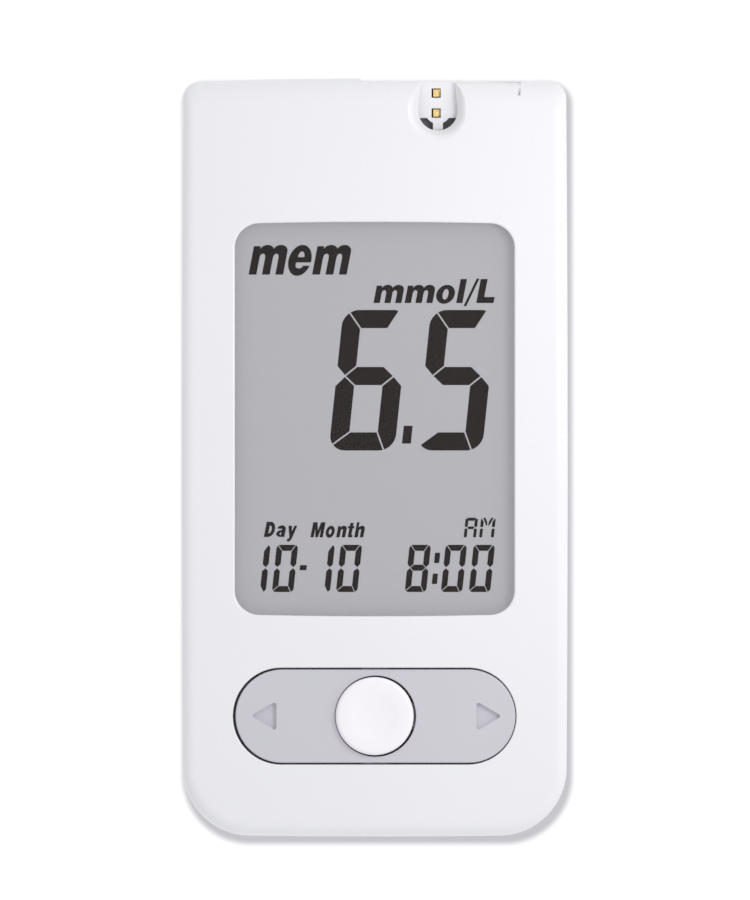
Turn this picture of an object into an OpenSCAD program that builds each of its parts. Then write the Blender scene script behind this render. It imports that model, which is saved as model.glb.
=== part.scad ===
// Pocket blood glucose meter: display, rocker key round a button, strip port and sliding battery door.
// It lies on its back. X runs across it, Y towards the strip port and Z out of its face.
// The origin is in the middle of the back.

/* [Case] */
// Width of the case at its widest
case_w = 48.5; // [47.6:0.1:60]
// Length of the case at its longest
case_l = 95.2; // [93:0.2:115]
// Corner radius at the key end, seen from above
low_corner_r = 8.3; // [6:0.1:10]
// Corner radius at the strip end, seen from above
top_corner_r = 2.1; // [1.5:0.1:4]
// How far the long sides bow outwards
side_bow = 0.2; // [0:0.05:0.6]
// How far the strip end bows outwards
top_bow = 0.45; // [0:0.05:0.8]
// How far the key end bows outwards
low_bow = 0.25; // [0:0.05:0.8]
// Fall of the crowned face from its crest to a side or an end
crown = 0.35; // [0:0.05:0.6]
// Rounding of the face into the sides
side_edge_r = 1.4; // [0.8:0.1:2]
// Rounding of the face into the key end
low_edge_r = 1.7; // [0.8:0.1:2.4]
// Rounding of the face into the strip end
top_edge_r = 3.1; // [1.6:0.1:3.4]
// Rounding of the back into the sides
back_edge_r = 2.4; // [1:0.1:2.6]
// Thickness of the case's side walls
wall = 1.8; // [1.6:0.05:2.1]
// Thickness of the face at its crest
face_t = 1.8; // [1.5:0.05:2]
// Thickness of the back
back_t = 1.6; // [1.4:0.05:2]
// Height of the seam between the two shells
seam_z = 6.5; // [6.3:0.05:7]
// Width of the seam
seam_gap = 0.1; // [0.05:0.01:0.2]
// Height of the lip that locates the shells
lip_h = 1.2; // [0.8:0.05:1.4]
// Thickness of that lip
lip_t = 0.75; // [0.6:0.05:0.85]

/* [Display] */
// Side of the case to the window in its face
window_side = 6.7; // [6:0.05:9]
// Strip end of the case to the window
window_to_end = 18.05; // [17.5:0.05:24]
// Corner radius of the window
window_r = 3; // [1:0.1:4]
// How far the window's ends bow outwards
window_bow = 0.25; // [0:0.05:0.5]
// Land between the window and the key opening
window_to_pad = 6.45; // [6.2:0.05:8]
// Depth of the window's rim below the crest
rim_depth = 1; // [0.8:0.05:1.3]
// How far the lens laps under the rim
lens_lap = 1.6; // [1.2:0.1:1.8]
// Thickness of the lens
lens_t = 1; // [0.7:0.05:1.3]
// Thickness of the adhesive frame
tape_t = 0.15; // [0.1:0.01:0.25]
// Width of the adhesive frame
tape_w = 1.2; // [0.8:0.05:1.4]
// Air between the lens and the polarizer
lens_air = 0.15; // [0.1:0.01:0.3]
// Thickness of each polarizer
polarizer_t = 0.2; // [0.15:0.01:0.3]
// Thickness of each display glass
glass_t = 0.55; // [0.4:0.05:0.7]
// Lap of the display glass past the window
glass_lap = 2; // [1.5:0.1:2.2]
// Length of the front glass past the rear one, for the contacts
ledge_l = 2.4; // [2:0.1:2.6]
// Thickness of the holder's walls
holder_wall = 1.2; // [1:0.05:1.3]
// Thickness of the elastomer connector
zebra_t = 1.8; // [1.4:0.1:1.9]

/* [Keys] */
// Side of the case to the key opening
pad_side = 6.43; // [6.2:0.05:8]
// Height of the key opening
pad_h = 12.2; // [11.9:0.05:12.4]
// Middle of the key opening above the key end
pad_from_end = 15.1; // [14.9:0.05:17]
// Gap between the rocker key and its opening
pad_gap = 0.23; // [0.2:0.01:0.4]
// How far the loose rocker key has settled to the right
pad_settle = 0.12; // [0:0.01:0.13]
// Thickness of the rocker key
plate_t = 1.4; // [1.1:0.05:1.5]
// Top of the rocker key below the crest of the face
plate_drop = 0.5; // [0.4:0.05:0.7]
// Rounding of the rocker key's edge
plate_edge_r = 0.3; // [0.1:0.05:0.5]
// Diameter of the hole for the main button
hole_d = 10.3; // [10.1:0.05:10.4]
// Gap between the main button and its hole
button_gap = 0.25; // [0.2:0.01:0.4]
// How far the loose button has settled to the left of its hole
button_settle = 0.12; // [0:0.01:0.13]
// Height of the main button above the rocker key
button_rise = 0.9; // [0.7:0.05:1.5]
// Rounding of the button's rim
button_edge_r = 0.9; // [0.4:0.05:1]
// Radius of the dish in the button
dish_r = 3.2; // [2.5:0.1:3.6]
// Depth of the dish
dish_depth = 0.3; // [0.1:0.05:0.5]
// Travel of the main button
button_travel = 0.4; // [0.2:0.05:0.45]
// Length of an arrow across the key
arrow_l = 3; // [2:0.1:3.5]
// Height of an arrow
arrow_h = 3.3; // [2:0.1:4]
// Depth of the arrows
arrow_depth = 0.3; // [0.15:0.05:0.5]
// Outer edge of the key to an arrow's tip
arrow_inset = 2.2; // [1.6:0.1:4]
// Radius of the rocker's pivot pins
pivot_r = 0.7; // [0.5:0.05:0.75]
// Running gap round the pivot pins
pivot_gap = 0.06; // [0.03:0.01:0.09]
// Radius of the button's stem
stem_r = 1.9; // [1.4:0.05:2]
// Running gap round the stem
stem_gap = 0.07; // [0.04:0.01:0.09]
// End of the rocker key to the middle of its pressing post
post_inset = 4.6; // [3.6:0.1:6]
// Radius of a pressing post
post_r = 1.2; // [0.8:0.05:1.4]
// Height of a snap dome
dome_h = 0.5; // [0.4:0.05:0.6]
// Radius of a snap dome
dome_r = 2.6; // [2:0.1:3]
// Thickness of the key frame
frame_t = 1.2; // [1:0.05:1.3]
// Height of the key frame above the board
frame_lift = 1.1; // [1:0.05:1.3]

/* [Strip port] */
// Middle of the port from the middle of the case
port_x = 7.95; // [6:0.1:9]
// Radius of the floor's round end
port_floor_r = 2.46; // [2:0.05:2.8]
// Radius of the scoop at the face
port_rim_r = 3.3; // [2.9:0.05:3.8]
// Middle of that round end below the strip end
port_from_end = 4.1; // [3.6:0.1:5]
// Height of the slot that the strip slides in
slot_h = 0.9; // [0.7:0.05:1]
// Width of that slot
slot_w = 8.2; // [7:0.1:9]
// Length of the slot
slot_l = 12; // [10:0.5:13]
// Thickness of the slot's floor
slot_floor_t = 1; // [0.8:0.05:1.2]
// Width of the insert in the strip end
insert_w = 20.1; // [18:0.1:20.4]
// How far the insert stands back from the end
insert_back = 0.3; // [0.1:0.05:0.5]
// Thickness of the insert's face
insert_t = 0.9; // [0.7:0.05:1]
// How far the roof over the insert stands back from the end
roof_back = 0.7; // [0.5:0.05:1]
// Gap round the insert
insert_gap = 0.1; // [0.05:0.01:0.2]
// Width of a gold contact's tip
contact_w = 0.9; // [0.6:0.05:1]
// Distance between the two contacts that show
contact_pitch = 2.51; // [2.2:0.05:2.7]
// Width of the windows for the contacts
contact_window = 1.15; // [1.1:0.05:1.3]
// Inner radius of the two dark arcs in the floor
arc_inner_r = 1.63; // [1.4:0.05:1.8]
// Width of the rib between the arcs
arc_rib_w = 1.26; // [0.8:0.05:1.6]
// Straight end of the arcs below the round end's middle
arc_cut = 0.89; // [0.7:0.05:1]

/* [Battery] */
// Diameter of a coin cell
cell_d = 16; // [12:0.1:18]
// Height of a coin cell
cell_t = 3.2; // [2.5:0.1:3.3]
// Space between the two cells
cell_between = 1.2; // [0.8:0.05:2]
// Middle of the cells above the key end
cell_from_end = 21.6; // [19:0.1:24]
// Gap round a cell
cell_gap = 0.3; // [0.2:0.01:0.3]
// Thickness of the tray that holds the cells
tray_t = 1; // [0.8:0.05:1.1]
// Thickness of the battery door
door_t = 1.4; // [1.2:0.05:1.6]
// Side of the case to the battery door
door_side = 3.35; // [3.1:0.05:4]
// Gap round the battery door
door_gap = 0.15; // [0.1:0.01:0.2]
// How far the door's slanted edges widen inwards
door_slant = 0.8; // [0.5:0.05:1]
// Land of the door past the cells
door_land = 4.2; // [1.8:0.1:6]
// Number of grip ridges on the door
grip_count = 5; // [3:1:7]

/* [Board] */
// Thickness of the circuit board
board_t = 1; // [0.8:0.05:1.2]
// Room over the board, up to the crest of the face
over_board = 6.7; // [6.1:0.05:9]
// Room between the cell tray and the board
under_board = 1.1; // [1:0.05:1.4]
// Gap between the board and the walls
board_gap = 0.8; // [0.5:0.05:1]
// Shaft radius of the screws
screw_r = 1; // [0.8:0.05:1.1]
// Head radius of the screws
screw_head_r = 1.8; // [1.5:0.05:1.9]
// Head height of the screws
screw_head_t = 1.1; // [0.8:0.05:1.2]
// Length of the screws under the head
screw_l = 9; // [7.5:0.1:9.2]
// Radius of the screw posts
screw_post_r = 2.5; // [2.3:0.05:2.6]
// Middle of the upper screws from the strip end
screw_from_end = 6.6; // [6.4:0.05:7]
// Middle of the upper screws from the sides
screw_from_side = 5.65; // [5.3:0.05:5.8]
// Space between a lower screw's post and the round corner's wall
screw_post_gap = 0.3; // [0.1:0.05:0.8]
// Diameter of the buzzer
buzzer_d = 8.6; // [7:0.1:9]
// Width of the blank label on the back
label_w = 34; // [24:0.5:36]
// Length of the blank label
label_l = 26; // [16:0.5:28]
// Thickness of the label
label_t = 0.12; // [0.08:0.01:0.2]

/* [Hidden] */
$fn = 64;
EPS = 0.01;
ARC_STEPS = 9;
SIDE_STEPS = 6;
EDGE_STEPS = 5;
MIN_R = 0.3;
CROWN_RINGS = [0.85, 0.6, 0.3];

// The case's ends and the places that follow them
end_y = case_l / 2;
half_w = case_w / 2;
inner_w = half_w - wall;
inner_y = end_y - wall;
pad_y = -end_y + pad_from_end;
pad_w = case_w - 2 * pad_side;
window_w = case_w - 2 * window_side;
window_low_y = pad_y + pad_h / 2 + window_to_pad;
window_l = end_y - window_to_end - window_low_y;
window_y = window_low_y + window_l / 2;
port_y = end_y - port_from_end;
cell_y = -end_y + cell_from_end;
cell_r = cell_d / 2;
cell_pitch = cell_d + cell_between;

// Heights, from the back up to the board
ledge_z = door_t + door_gap;
ledge_t = 1.2;
cell_z = ledge_z + door_gap;
cell_roof_gap = 0.3;
roof_z = cell_z + cell_t + cell_roof_gap;
tray_top = roof_z + tray_t;
board_z = tray_top + under_board;
board_top = board_z + board_t;
pad_metal_t = 0.05;
case_t = board_top + over_board;
ceiling_z = case_t - face_t;

// Heights of the display, from the face down
tape_top = case_t - rim_depth;
lens_top = tape_top - tape_t;
lens_z = lens_top - lens_t;
front_polarizer_z = lens_z - lens_air - polarizer_t;
front_glass_z = front_polarizer_z - glass_t;
rear_glass_z = front_glass_z - glass_t;
reflector_z = rear_glass_z - polarizer_t;

// Plan of the display
glass_w = window_w + 2 * glass_lap;
glass_top_y = window_y + window_l / 2 + glass_lap;
rear_glass_low_y = window_y - window_l / 2 - 0.5;
glass_low_y = rear_glass_low_y - ledge_l;
holder_gap = 0.15;
holder_shelf = 1.4;
zebra_inset = 1.6;
film_inset = 0.6;
reflector_inset = 0.4;
lens_gap = 0.1;

// Heights and plan of the keys
plate_top = case_t - plate_drop;
plate_z = plate_top - plate_t;
plate_w = pad_w - 2 * pad_gap;
plate_h = pad_h - 2 * pad_gap;
post_x = plate_w / 2 - post_inset;
button_r = hole_d / 2 - button_gap;
button_x = pad_settle - button_settle;
button_top = plate_top + button_rise;
pivot_drop = 0.2;
pivot_z = plate_z - pivot_r - pivot_drop;
dome_top = board_top + pad_metal_t + dome_h;
press_gap = 0.05;
frame_z = board_top + frame_lift;
frame_top = frame_z + frame_t;
frame_inset = 0.6;
frame_land = 1.3;
leg_w = 1.6;
post_hole_gap = 0.4;
lug_gap = 0.12;
lug_in = hole_d / 2 + lug_gap;
lug_t = 1.05;
lug_w = 3.2;
pin_l = 1;
ear_gap = 0.15;
ear_in = lug_in + lug_t + ear_gap;
ear_t = 1;
ear_w = 3.6;
skirt_gap = 0.5;
skirt_z = frame_top + button_travel + skirt_gap;
tab_lift = 0.1;
tab_z = skirt_z + tab_lift;
tab_t = 0.6;
tab_reach = 1.3;
tab_w = 3.4;
cap_wall = 1;
cap_roof = 1.4;

// The strip port
port_floor_z = ceiling_z - slot_h;
port_under_z = port_floor_z - slot_floor_t;
rail_t = 1.2;
insert_shift = 0.3;
insert_x0 = port_x + insert_shift - insert_w / 2;
insert_x1 = insert_x0 + insert_w;
flange_in_y = end_y - insert_back - insert_t;
lip_lap = 1.1;
lip_plate_t = 0.8;
relief_w = 0.25;
relief_l = 2.1;
relief_h = 1.2;
lip_plate_y = inner_y - insert_gap - lip_plate_t;
contact_left = 0.22;
contact_back = 0.27;
contact_x = port_x - contact_left;
contact_y = port_y - contact_back;
contact_rise = 0.05;
connector_w = 8.2;
connector_l = 6.5;
connector_y0 = port_y - connector_l;
connector_y1 = inner_y - insert_gap;
spring_pitch = 2;
spring_w = 0.6;
spring_t = 0.2;
spring_l = 2.3;
spring_slot = 0.2;
tip_well = 0.15;
well_floor = 0.6;

// The board and the screws
board_w = 2 * (inner_w - board_gap);
board_low_y = -inner_y + board_gap;
board_end_gap = 0.4;
board_top_y = lip_plate_y - board_end_gap;
screw_fit = 0.15;
screw_hole_r = screw_r + screw_fit;
pilot_r = screw_r - screw_fit;
head_gap = 0.2;
cross_l = 2.2;
cross_w = 0.5;
cross_depth = 0.6;
head_sink = 0.3;
up_seat_z = back_t + head_sink;
low_seat_z = cell_z + screw_head_t;
corner_reach = (low_corner_r - wall - screw_post_r - screw_post_gap) * sqrt(0.5);
screws = [for (s = [-1, 1]) each [
    [s * (half_w - screw_from_side), end_y - screw_from_end, up_seat_z],
    [s * (half_w - low_corner_r + corner_reach), low_corner_r - corner_reach - end_y, low_seat_z]]];

// The battery door and the label
door_w = case_w - 2 * door_side;
door_top_y = cell_y + cell_r + cell_gap + door_land;
grip_pitch = 1.6;
grip_l = 16;
grip_r = 0.65;
grip_depth = 0.3;
leaf_t = 0.2;
leaf_w = 4;
leaf_foot = 1.6;
leaf_gap = 0.05;
leaf_slot = 0.3;
label_y = (door_top_y + end_y) / 2;
label_recess = label_t + 0.05;
label_gap = 0.15;

// ---- Outlines -----------------------------------------------------------------------------------

function mix(a, b, t) = a + (b - a) * t;

// Points of a round corner about [cx, cy], each with how far it faces an end (0 at a side, 1 at an end)
function corner(cx, cy, r, from) = [for (i = [0:ARC_STEPS])
    let (a = from + 90 * i / ARC_STEPS) [cx + r * cos(a), cy + r * sin(a), pow(sin(a), 2)]];

// Points between two corners
function between(a, b, facing) = [for (i = [1:SIDE_STEPS - 1])
    let (t = i / SIDE_STEPS) [mix(a[0], b[0], t), mix(a[1], b[1], t), facing]];

// A rectangle from -w to w and from y0 to y1 with round corners, anticlockwise from its lower right corner
function round_rect(w, y0, y1, r0, r1) = concat(
    corner(w - r0, y0 + r0, r0, -90), between([w, y0 + r0], [w, y1 - r1], 0),
    corner(w - r1, y1 - r1, r1, 0), between([w - r1, y1], [r1 - w, y1], 1),
    corner(r1 - w, y1 - r1, r1, 90), between([-w, y1 - r1], [-w, y0 + r0], 0),
    corner(r0 - w, y0 + r0, r0, 180), between([r0 - w, y0], [w - r0, y0], 1));

// The case's bow: a point moves in as it leaves the middle of its side or end
function bowed(p) = let (u = p[0] / half_w, v = p[1] / end_y)
    [p[0] - side_bow * u * v * v, p[1] - (v > 0 ? top_bow : low_bow) * v * u * u];

// The case's outline, drawn in by the given amounts
function case_outline(side, low, top) = round_rect(half_w - side, low - end_y, end_y - top,
    max(low_corner_r - side, MIN_R), max(top_corner_r - side, MIN_R));

function flat(points) = [for (p = points) bowed(p)];
function fall(p) = crown * (pow(p[0] / half_w, 2) + pow(p[1] / end_y, 2));
function on_face(p, z) = [p[0], p[1], z - fall(p)];

// One ring of the face's rounded edge: a is 0 at the side wall and 90 at the face
function face_ring(a) = [for (p = case_outline(side_edge_r * (1 - cos(a)), low_edge_r * (1 - cos(a)),
        top_edge_r * (1 - cos(a))))
    let (r = mix(side_edge_r, p[1] > 0 ? top_edge_r : low_edge_r, p[2]))
        on_face(bowed(p), case_t - r * (1 - sin(a)))];

// A ring of the crowned face, drawn in towards its middle
function crown_ring(s) = [for (p = face_ring(90)) on_face([p[0] * s, p[1] * s], case_t)];

// One ring of the back's rounded edge: a is 90 at the back and 0 at the side wall
function back_ring(a) = let (d = back_edge_r * (1 - cos(a)))
    [for (p = flat(case_outline(d, d, d))) [p[0], p[1], back_edge_r * (1 - sin(a))]];

function side_ring(z) = [for (p = flat(case_outline(0, 0, 0))) [p[0], p[1], z]];

// A closed solid through rings of points, with a flat bottom, and a flat top or a peak
module stack(rings, peak = []) {
    n = len(rings[0]);
    last = (len(rings) - 1) * n;
    polyhedron(
        points = concat([for (ring = rings) each ring], len(peak) > 0 ? [peak] : []),
        faces = concat(
            [[for (i = [0:n - 1]) i]],
            [for (k = [0:len(rings) - 2], i = [0:n - 1]) let (a = k * n + i, b = k * n + (i + 1) % n) each
                [[a, a + n, b + n], [a, b + n, b]]],
            len(peak) > 0 ? [for (i = [0:n - 1]) [last + i, last + n, last + (i + 1) % n]]
                : [[for (i = [n - 1:-1:0]) last + i]]));
}

module front_solid() {
    edge = [for (i = [0:EDGE_STEPS]) face_ring(90 * i / EDGE_STEPS)];
    crowns = [for (s = CROWN_RINGS) crown_ring(s)];
    stack(concat([side_ring(seam_z + seam_gap)], edge, crowns), [0, 0, case_t]);
}

module back_solid() {
    edge = [for (i = [EDGE_STEPS:-1:0]) back_ring(90 * i / EDGE_STEPS)];
    stack(concat(edge, [side_ring(seam_z)]));
}

// A straight wall or block that follows the case's outline, drawn in by d
module case_block(d, z0, z1) {
    translate([0, 0, z0]) linear_extrude(z1 - z0) polygon(flat(case_outline(d, d, d)));
}

// A rectangle with round corners between two heights, centred on y
module plate(w, l, r, y, z0, z1) {
    translate([0, y, z0]) linear_extrude(z1 - z0)
        polygon([for (p = round_rect(w / 2, -l / 2, l / 2, r, r)) [p[0], p[1]]]);
}

module box(x0, x1, y0, y1, z0, z1) {
    translate([x0, y0, z0]) cube([x1 - x0, y1 - y0, z1 - z0]);
}

module rod(x, y, r, z0, z1) {
    translate([x, y, z0]) cylinder(r = r, h = z1 - z0);
}

// The window's outline, grown by d: its ends bow outwards
function window_outline(d) = [for (p = round_rect(window_w / 2 + d, -window_l / 2 - d, window_l / 2 + d,
        window_r + d, window_r + d))
    let (u = p[0] / (window_w / 2 + d), v = p[1] / (window_l / 2 + d)) [p[0], p[1] - window_bow * v * u * u]];

module window_block(d, z0, z1) {
    translate([0, window_y, z0]) linear_extrude(z1 - z0) polygon(window_outline(d));
}

module stadium(w, h, z0, z1) {
    for (s = [-1, 1]) rod(s * (w - h) / 2, 0, h / 2, z0, z1);
    box(-(w - h) / 2, (w - h) / 2, -h / 2, h / 2, z0, z1);
}

// ---- Case ---------------------------------------------------------------------------------------

// The scoop's cutter: a cone at its round end, open towards the strip end
module scoop() {
    rise = case_t - ceiling_z;
    spread = (port_rim_r - port_floor_r) * (rise + 2 * EPS) / rise;
    hull() for (y = [0, port_from_end + 1])
        translate([port_x, port_y + y, ceiling_z - EPS])
            cylinder(r1 = port_floor_r, r2 = port_floor_r + spread, h = rise + 2 * EPS, $fn = 48);
}

module insert_notch() {
    x0 = insert_x0 - insert_gap;
    x1 = insert_x1 + insert_gap;
    box(x0, x1, lip_plate_y, end_y + 1, seam_z - 1, ceiling_z);
    box(x0, x1, end_y - roof_back, end_y + 1, seam_z, case_t);
    box(x0 - lip_lap, x1 + lip_lap, lip_plate_y - 1, inner_y, seam_z - 1, ceiling_z);
    box(x1 - relief_w, x1, end_y - relief_l, end_y, ceiling_z - 1, ceiling_z + relief_h);
}

module front_cover() {
    color([0.95, 0.95, 0.96]) difference() {
        union() {
            difference() {
                front_solid();
                case_block(wall, seam_z - 1, ceiling_z);
            }
            for (p = screws) rod(p[0], p[1], screw_post_r, board_top, ceiling_z + 0.2);
        }
        case_block(wall - lip_t - seam_gap, seam_z - 1, seam_z + seam_gap + lip_h);
        window_block(0, ceiling_z - 1, case_t + 1);
        window_block(lens_lap + lens_gap, ceiling_z - 1, tape_top);
        translate([0, pad_y, 0]) stadium(pad_w, pad_h, ceiling_z - 1, case_t + 1);
        scoop();
        insert_notch();
        for (p = screws) rod(p[0], p[1], pilot_r, board_top - 1, p[2] + screw_l + 0.5);
    }
}

// The battery door's slanted profile, grown by g, from one place to another along Y
module door_profile(g, y0, y1, z0, z1) {
    slope = door_slant / door_t;
    w = door_w / 2 + g;
    translate([0, y1, 0]) rotate([90, 0, 0]) linear_extrude(y1 - y0)
        polygon([[-w - z0 * slope, z0], [w + z0 * slope, z0], [w + z1 * slope, z1], [-w - z1 * slope, z1]]);
}

module cell_places() {
    for (s = [-1, 1]) translate([s * cell_pitch / 2, cell_y, 0]) children();
}

module positive_slot() {
    w = leaf_w / 2 + leaf_slot;
    y = -cell_r - leaf_gap - leaf_t - leaf_slot;
    box(-w, w, y, leaf_gap - cell_r, cell_z + leaf_slot, tray_top + EPS);
}

module negative_slot() {
    w = leaf_w / 2 + leaf_slot;
    box(-w, w, leaf_w - leaf_slot, leaf_w + leaf_t + leaf_slot, roof_z - EPS, tray_top + EPS);
}

module rear_cover() {
    pocket_r = cell_r + cell_gap;
    color([0.93, 0.93, 0.95]) difference() {
        union() {
            difference() {
                back_solid();
                case_block(wall, back_t, seam_z + 1);
            }
            difference() {
                case_block(wall - lip_t, seam_z - EPS, seam_z + lip_h);
                case_block(wall, seam_z - 1, seam_z + lip_h + 1);
            }
            intersection() {
                case_block(wall - EPS, back_t - EPS, ledge_z + ledge_t);
                box(-half_w, half_w, -end_y, door_top_y + 1.5, back_t - EPS, ledge_z + ledge_t);
            }
            cell_places() rod(0, 0, pocket_r + tray_t, ledge_z, tray_top);
            for (p = screws) rod(p[0], p[1], screw_post_r, back_t - EPS, board_z);
        }
        door_profile(door_gap, -end_y - 1, door_top_y + door_gap, -1, ledge_z);
        cell_places() {
            rod(0, 0, pocket_r, ledge_z - 1, roof_z);
            positive_slot();
            negative_slot();
        }
        for (p = screws) {
            rod(p[0], p[1], screw_hole_r, -1, board_z + 1);
            rod(p[0], p[1], screw_head_r + head_gap, -1, p[2]);
        }
        box(insert_x0 - lip_lap - insert_gap, insert_x1 + lip_lap + insert_gap, lip_plate_y - 1, end_y,
            seam_z, seam_z + lip_h + 1);
        plate(label_w + 2 * label_gap, label_l + 2 * label_gap, 1.5, label_y, -1, label_recess);
    }
}

module battery_door() {
    grip_y = cell_y + cell_r / 2;
    color([0.93, 0.93, 0.95]) difference() {
        intersection() {
            back_solid();
            door_profile(0, -end_y - 1, door_top_y, 0, door_t);
        }
        for (i = [0:grip_count - 1])
            translate([-grip_l / 2, grip_y - i * grip_pitch, grip_depth - grip_r]) rotate([0, 90, 0])
                cylinder(r = grip_r, h = grip_l, $fn = 24);
    }
}

module case_screws() {
    color([0.7, 0.71, 0.73]) for (p = screws) difference() {
        union() {
            rod(p[0], p[1], screw_r, p[2] - EPS, p[2] + screw_l);
            rod(p[0], p[1], screw_head_r, p[2] - screw_head_t, p[2]);
        }
        for (a = [0, 90]) translate([p[0], p[1], p[2] - screw_head_t]) rotate(a)
            cube([cross_l, cross_w, 2 * cross_depth], center = true);
    }
}

module back_label() {
    color([0.82, 0.83, 0.85]) plate(label_w, label_l, 1.4, label_y, 0.05, label_recess);
}

// ---- Display ------------------------------------------------------------------------------------

module display_lens() {
    color([0.85, 0.88, 0.9, 0.4]) window_block(lens_lap, lens_z, lens_top);
}

module lens_tape() {
    color([0.15, 0.15, 0.16]) difference() {
        window_block(lens_lap, lens_top, tape_top);
        window_block(lens_lap - tape_w, lens_top - 1, tape_top + 1);
    }
}

module glass_block(y0, z0, t, inset = 0) {
    box(-glass_w / 2 + inset, glass_w / 2 - inset, y0 + inset, glass_top_y - inset, z0, z0 + t);
}

module lcd_front_polarizer() {
    color([0.7, 0.7, 0.72])
        glass_block(rear_glass_low_y - reflector_inset, front_polarizer_z, polarizer_t, film_inset);
}

module lcd_front_glass() {
    color([0.75, 0.8, 0.8]) glass_block(glass_low_y, front_glass_z, glass_t);
}

module lcd_rear_glass() {
    color([0.72, 0.78, 0.78]) glass_block(rear_glass_low_y, rear_glass_z, glass_t);
}

module lcd_reflector() {
    color([0.7, 0.7, 0.72]) glass_block(rear_glass_low_y, reflector_z, polarizer_t, reflector_inset);
}

module lcd_holder() {
    x = glass_w / 2 + holder_gap;
    y0 = glass_low_y - holder_gap;
    y1 = glass_top_y + holder_gap;
    shelf = holder_shelf;
    zebra_wall_y = rear_glass_low_y - 0.1;
    color([0.9, 0.9, 0.88]) difference() {
        box(-x - holder_wall, x + holder_wall, y0 - holder_wall, y1 + holder_wall, board_top,
            front_polarizer_z - 0.1);
        box(-x, x, y0, y1, reflector_z, front_polarizer_z + 1);
        box(-x + shelf, x - shelf, zebra_wall_y + shelf, y1 - shelf, board_top - 1, front_polarizer_z);
        box(-x + shelf, x - shelf, y0 + 0.1, zebra_wall_y, board_top - 1, reflector_z + 1);
    }
}

module zebra_strip() {
    y = (glass_low_y + rear_glass_low_y) / 2;
    x = glass_w / 2 - zebra_inset;
    color([0.25, 0.2, 0.22])
        box(-x, x, y - zebra_t / 2, y + zebra_t / 2, board_top + pad_metal_t, front_glass_z);
}

// ---- Keys ---------------------------------------------------------------------------------------

// An arrow's outline, pointing along -X from its tip
function arrow_points(r) = [[-arrow_l / 2 + r, 0], [arrow_l / 2 - r, -arrow_h / 2 + r],
    [arrow_l / 2 - r, arrow_h / 2 - r]];

module arrow() {
    corner_r = 0.25;
    hull() for (p = arrow_points(corner_r)) translate([p[0], p[1], plate_top - arrow_depth])
        cylinder(r = corner_r, h = 1, $fn = 16);
}

// The plate's edge profile at the given half height, with its upper edge rounded
module plate_profile(w) {
    r = plate_edge_r;
    square([w, plate_t - r]);
    square([w - r, plate_t]);
    translate([w - r, plate_t - r]) circle(r);
}

module rocker_plate() {
    straight = (plate_w - plate_h) / 2;
    for (s = [0, 180]) rotate(s) {
        translate([straight, 0, plate_z]) rotate(-90) rotate_extrude(angle = 180) plate_profile(plate_h / 2);
        translate([-straight, 0, plate_z]) rotate([90, 0, 90]) linear_extrude(2 * straight)
            plate_profile(plate_h / 2);
    }
}

module rocker_key() {
    color([0.8, 0.8, 0.83]) translate([pad_settle, pad_y, 0]) difference() {
        union() {
            rocker_plate();
            for (s = [-1, 1]) {
                rod(s * post_x, 0, post_r, dome_top + press_gap, plate_z + 0.2);
                translate([-lug_w / 2, s > 0 ? lug_in : -lug_in - lug_t, pivot_z - pivot_r - 0.1])
                    cube([lug_w, lug_t, plate_z - pivot_z + pivot_r + 0.1]);
                translate([-lug_w / 2, s > 0 ? lug_in : -plate_h / 2 + 0.15, plate_z - EPS])
                    cube([lug_w, plate_h / 2 - lug_in - 0.15, 0.3]);
                translate([0, s * (lug_in + lug_t - 0.1), pivot_z]) rotate([-90 * s, 0, 0])
                    cylinder(r = pivot_r, h = pin_l + 0.1);
            }
        }
        rod(0, 0, hole_d / 2, plate_z - 1, case_t + 1);
        for (s = [0, 180]) rotate(s) translate([-plate_w / 2 + arrow_inset + arrow_l / 2, 0, 0]) arrow();
    }
}

module main_button() {
    r = button_edge_r;
    tab_r = button_r + tab_reach;
    color([0.96, 0.96, 0.97]) translate([button_x, pad_y, 0]) {
        difference() {
            union() {
                rod(0, 0, button_r, skirt_z, button_top - r);
                rod(0, 0, button_r - r, button_top - r - EPS, button_top);
                translate([0, 0, button_top - r]) rotate_extrude() translate([button_r - r, 0])
                    intersection() {
                        circle(r);
                        square(2 * r);
                    }
                intersection() {
                    rod(0, 0, tab_r, tab_z, tab_z + tab_t);
                    box(-tab_r, tab_r, -tab_w / 2, tab_w / 2, tab_z, tab_z + tab_t);
                }
            }
            dish_sphere_r = (dish_r * dish_r + dish_depth * dish_depth) / (2 * dish_depth);
            translate([0, 0, button_top - dish_depth + dish_sphere_r]) sphere(dish_sphere_r);
            difference() {
                rod(0, 0, button_r - cap_wall, skirt_z - 1, button_top - cap_roof);
                rod(0, 0, stem_r, skirt_z - 2, button_top);
            }
        }
        rod(0, 0, stem_r, dome_top + press_gap, button_top - cap_roof + EPS);
    }
}

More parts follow.
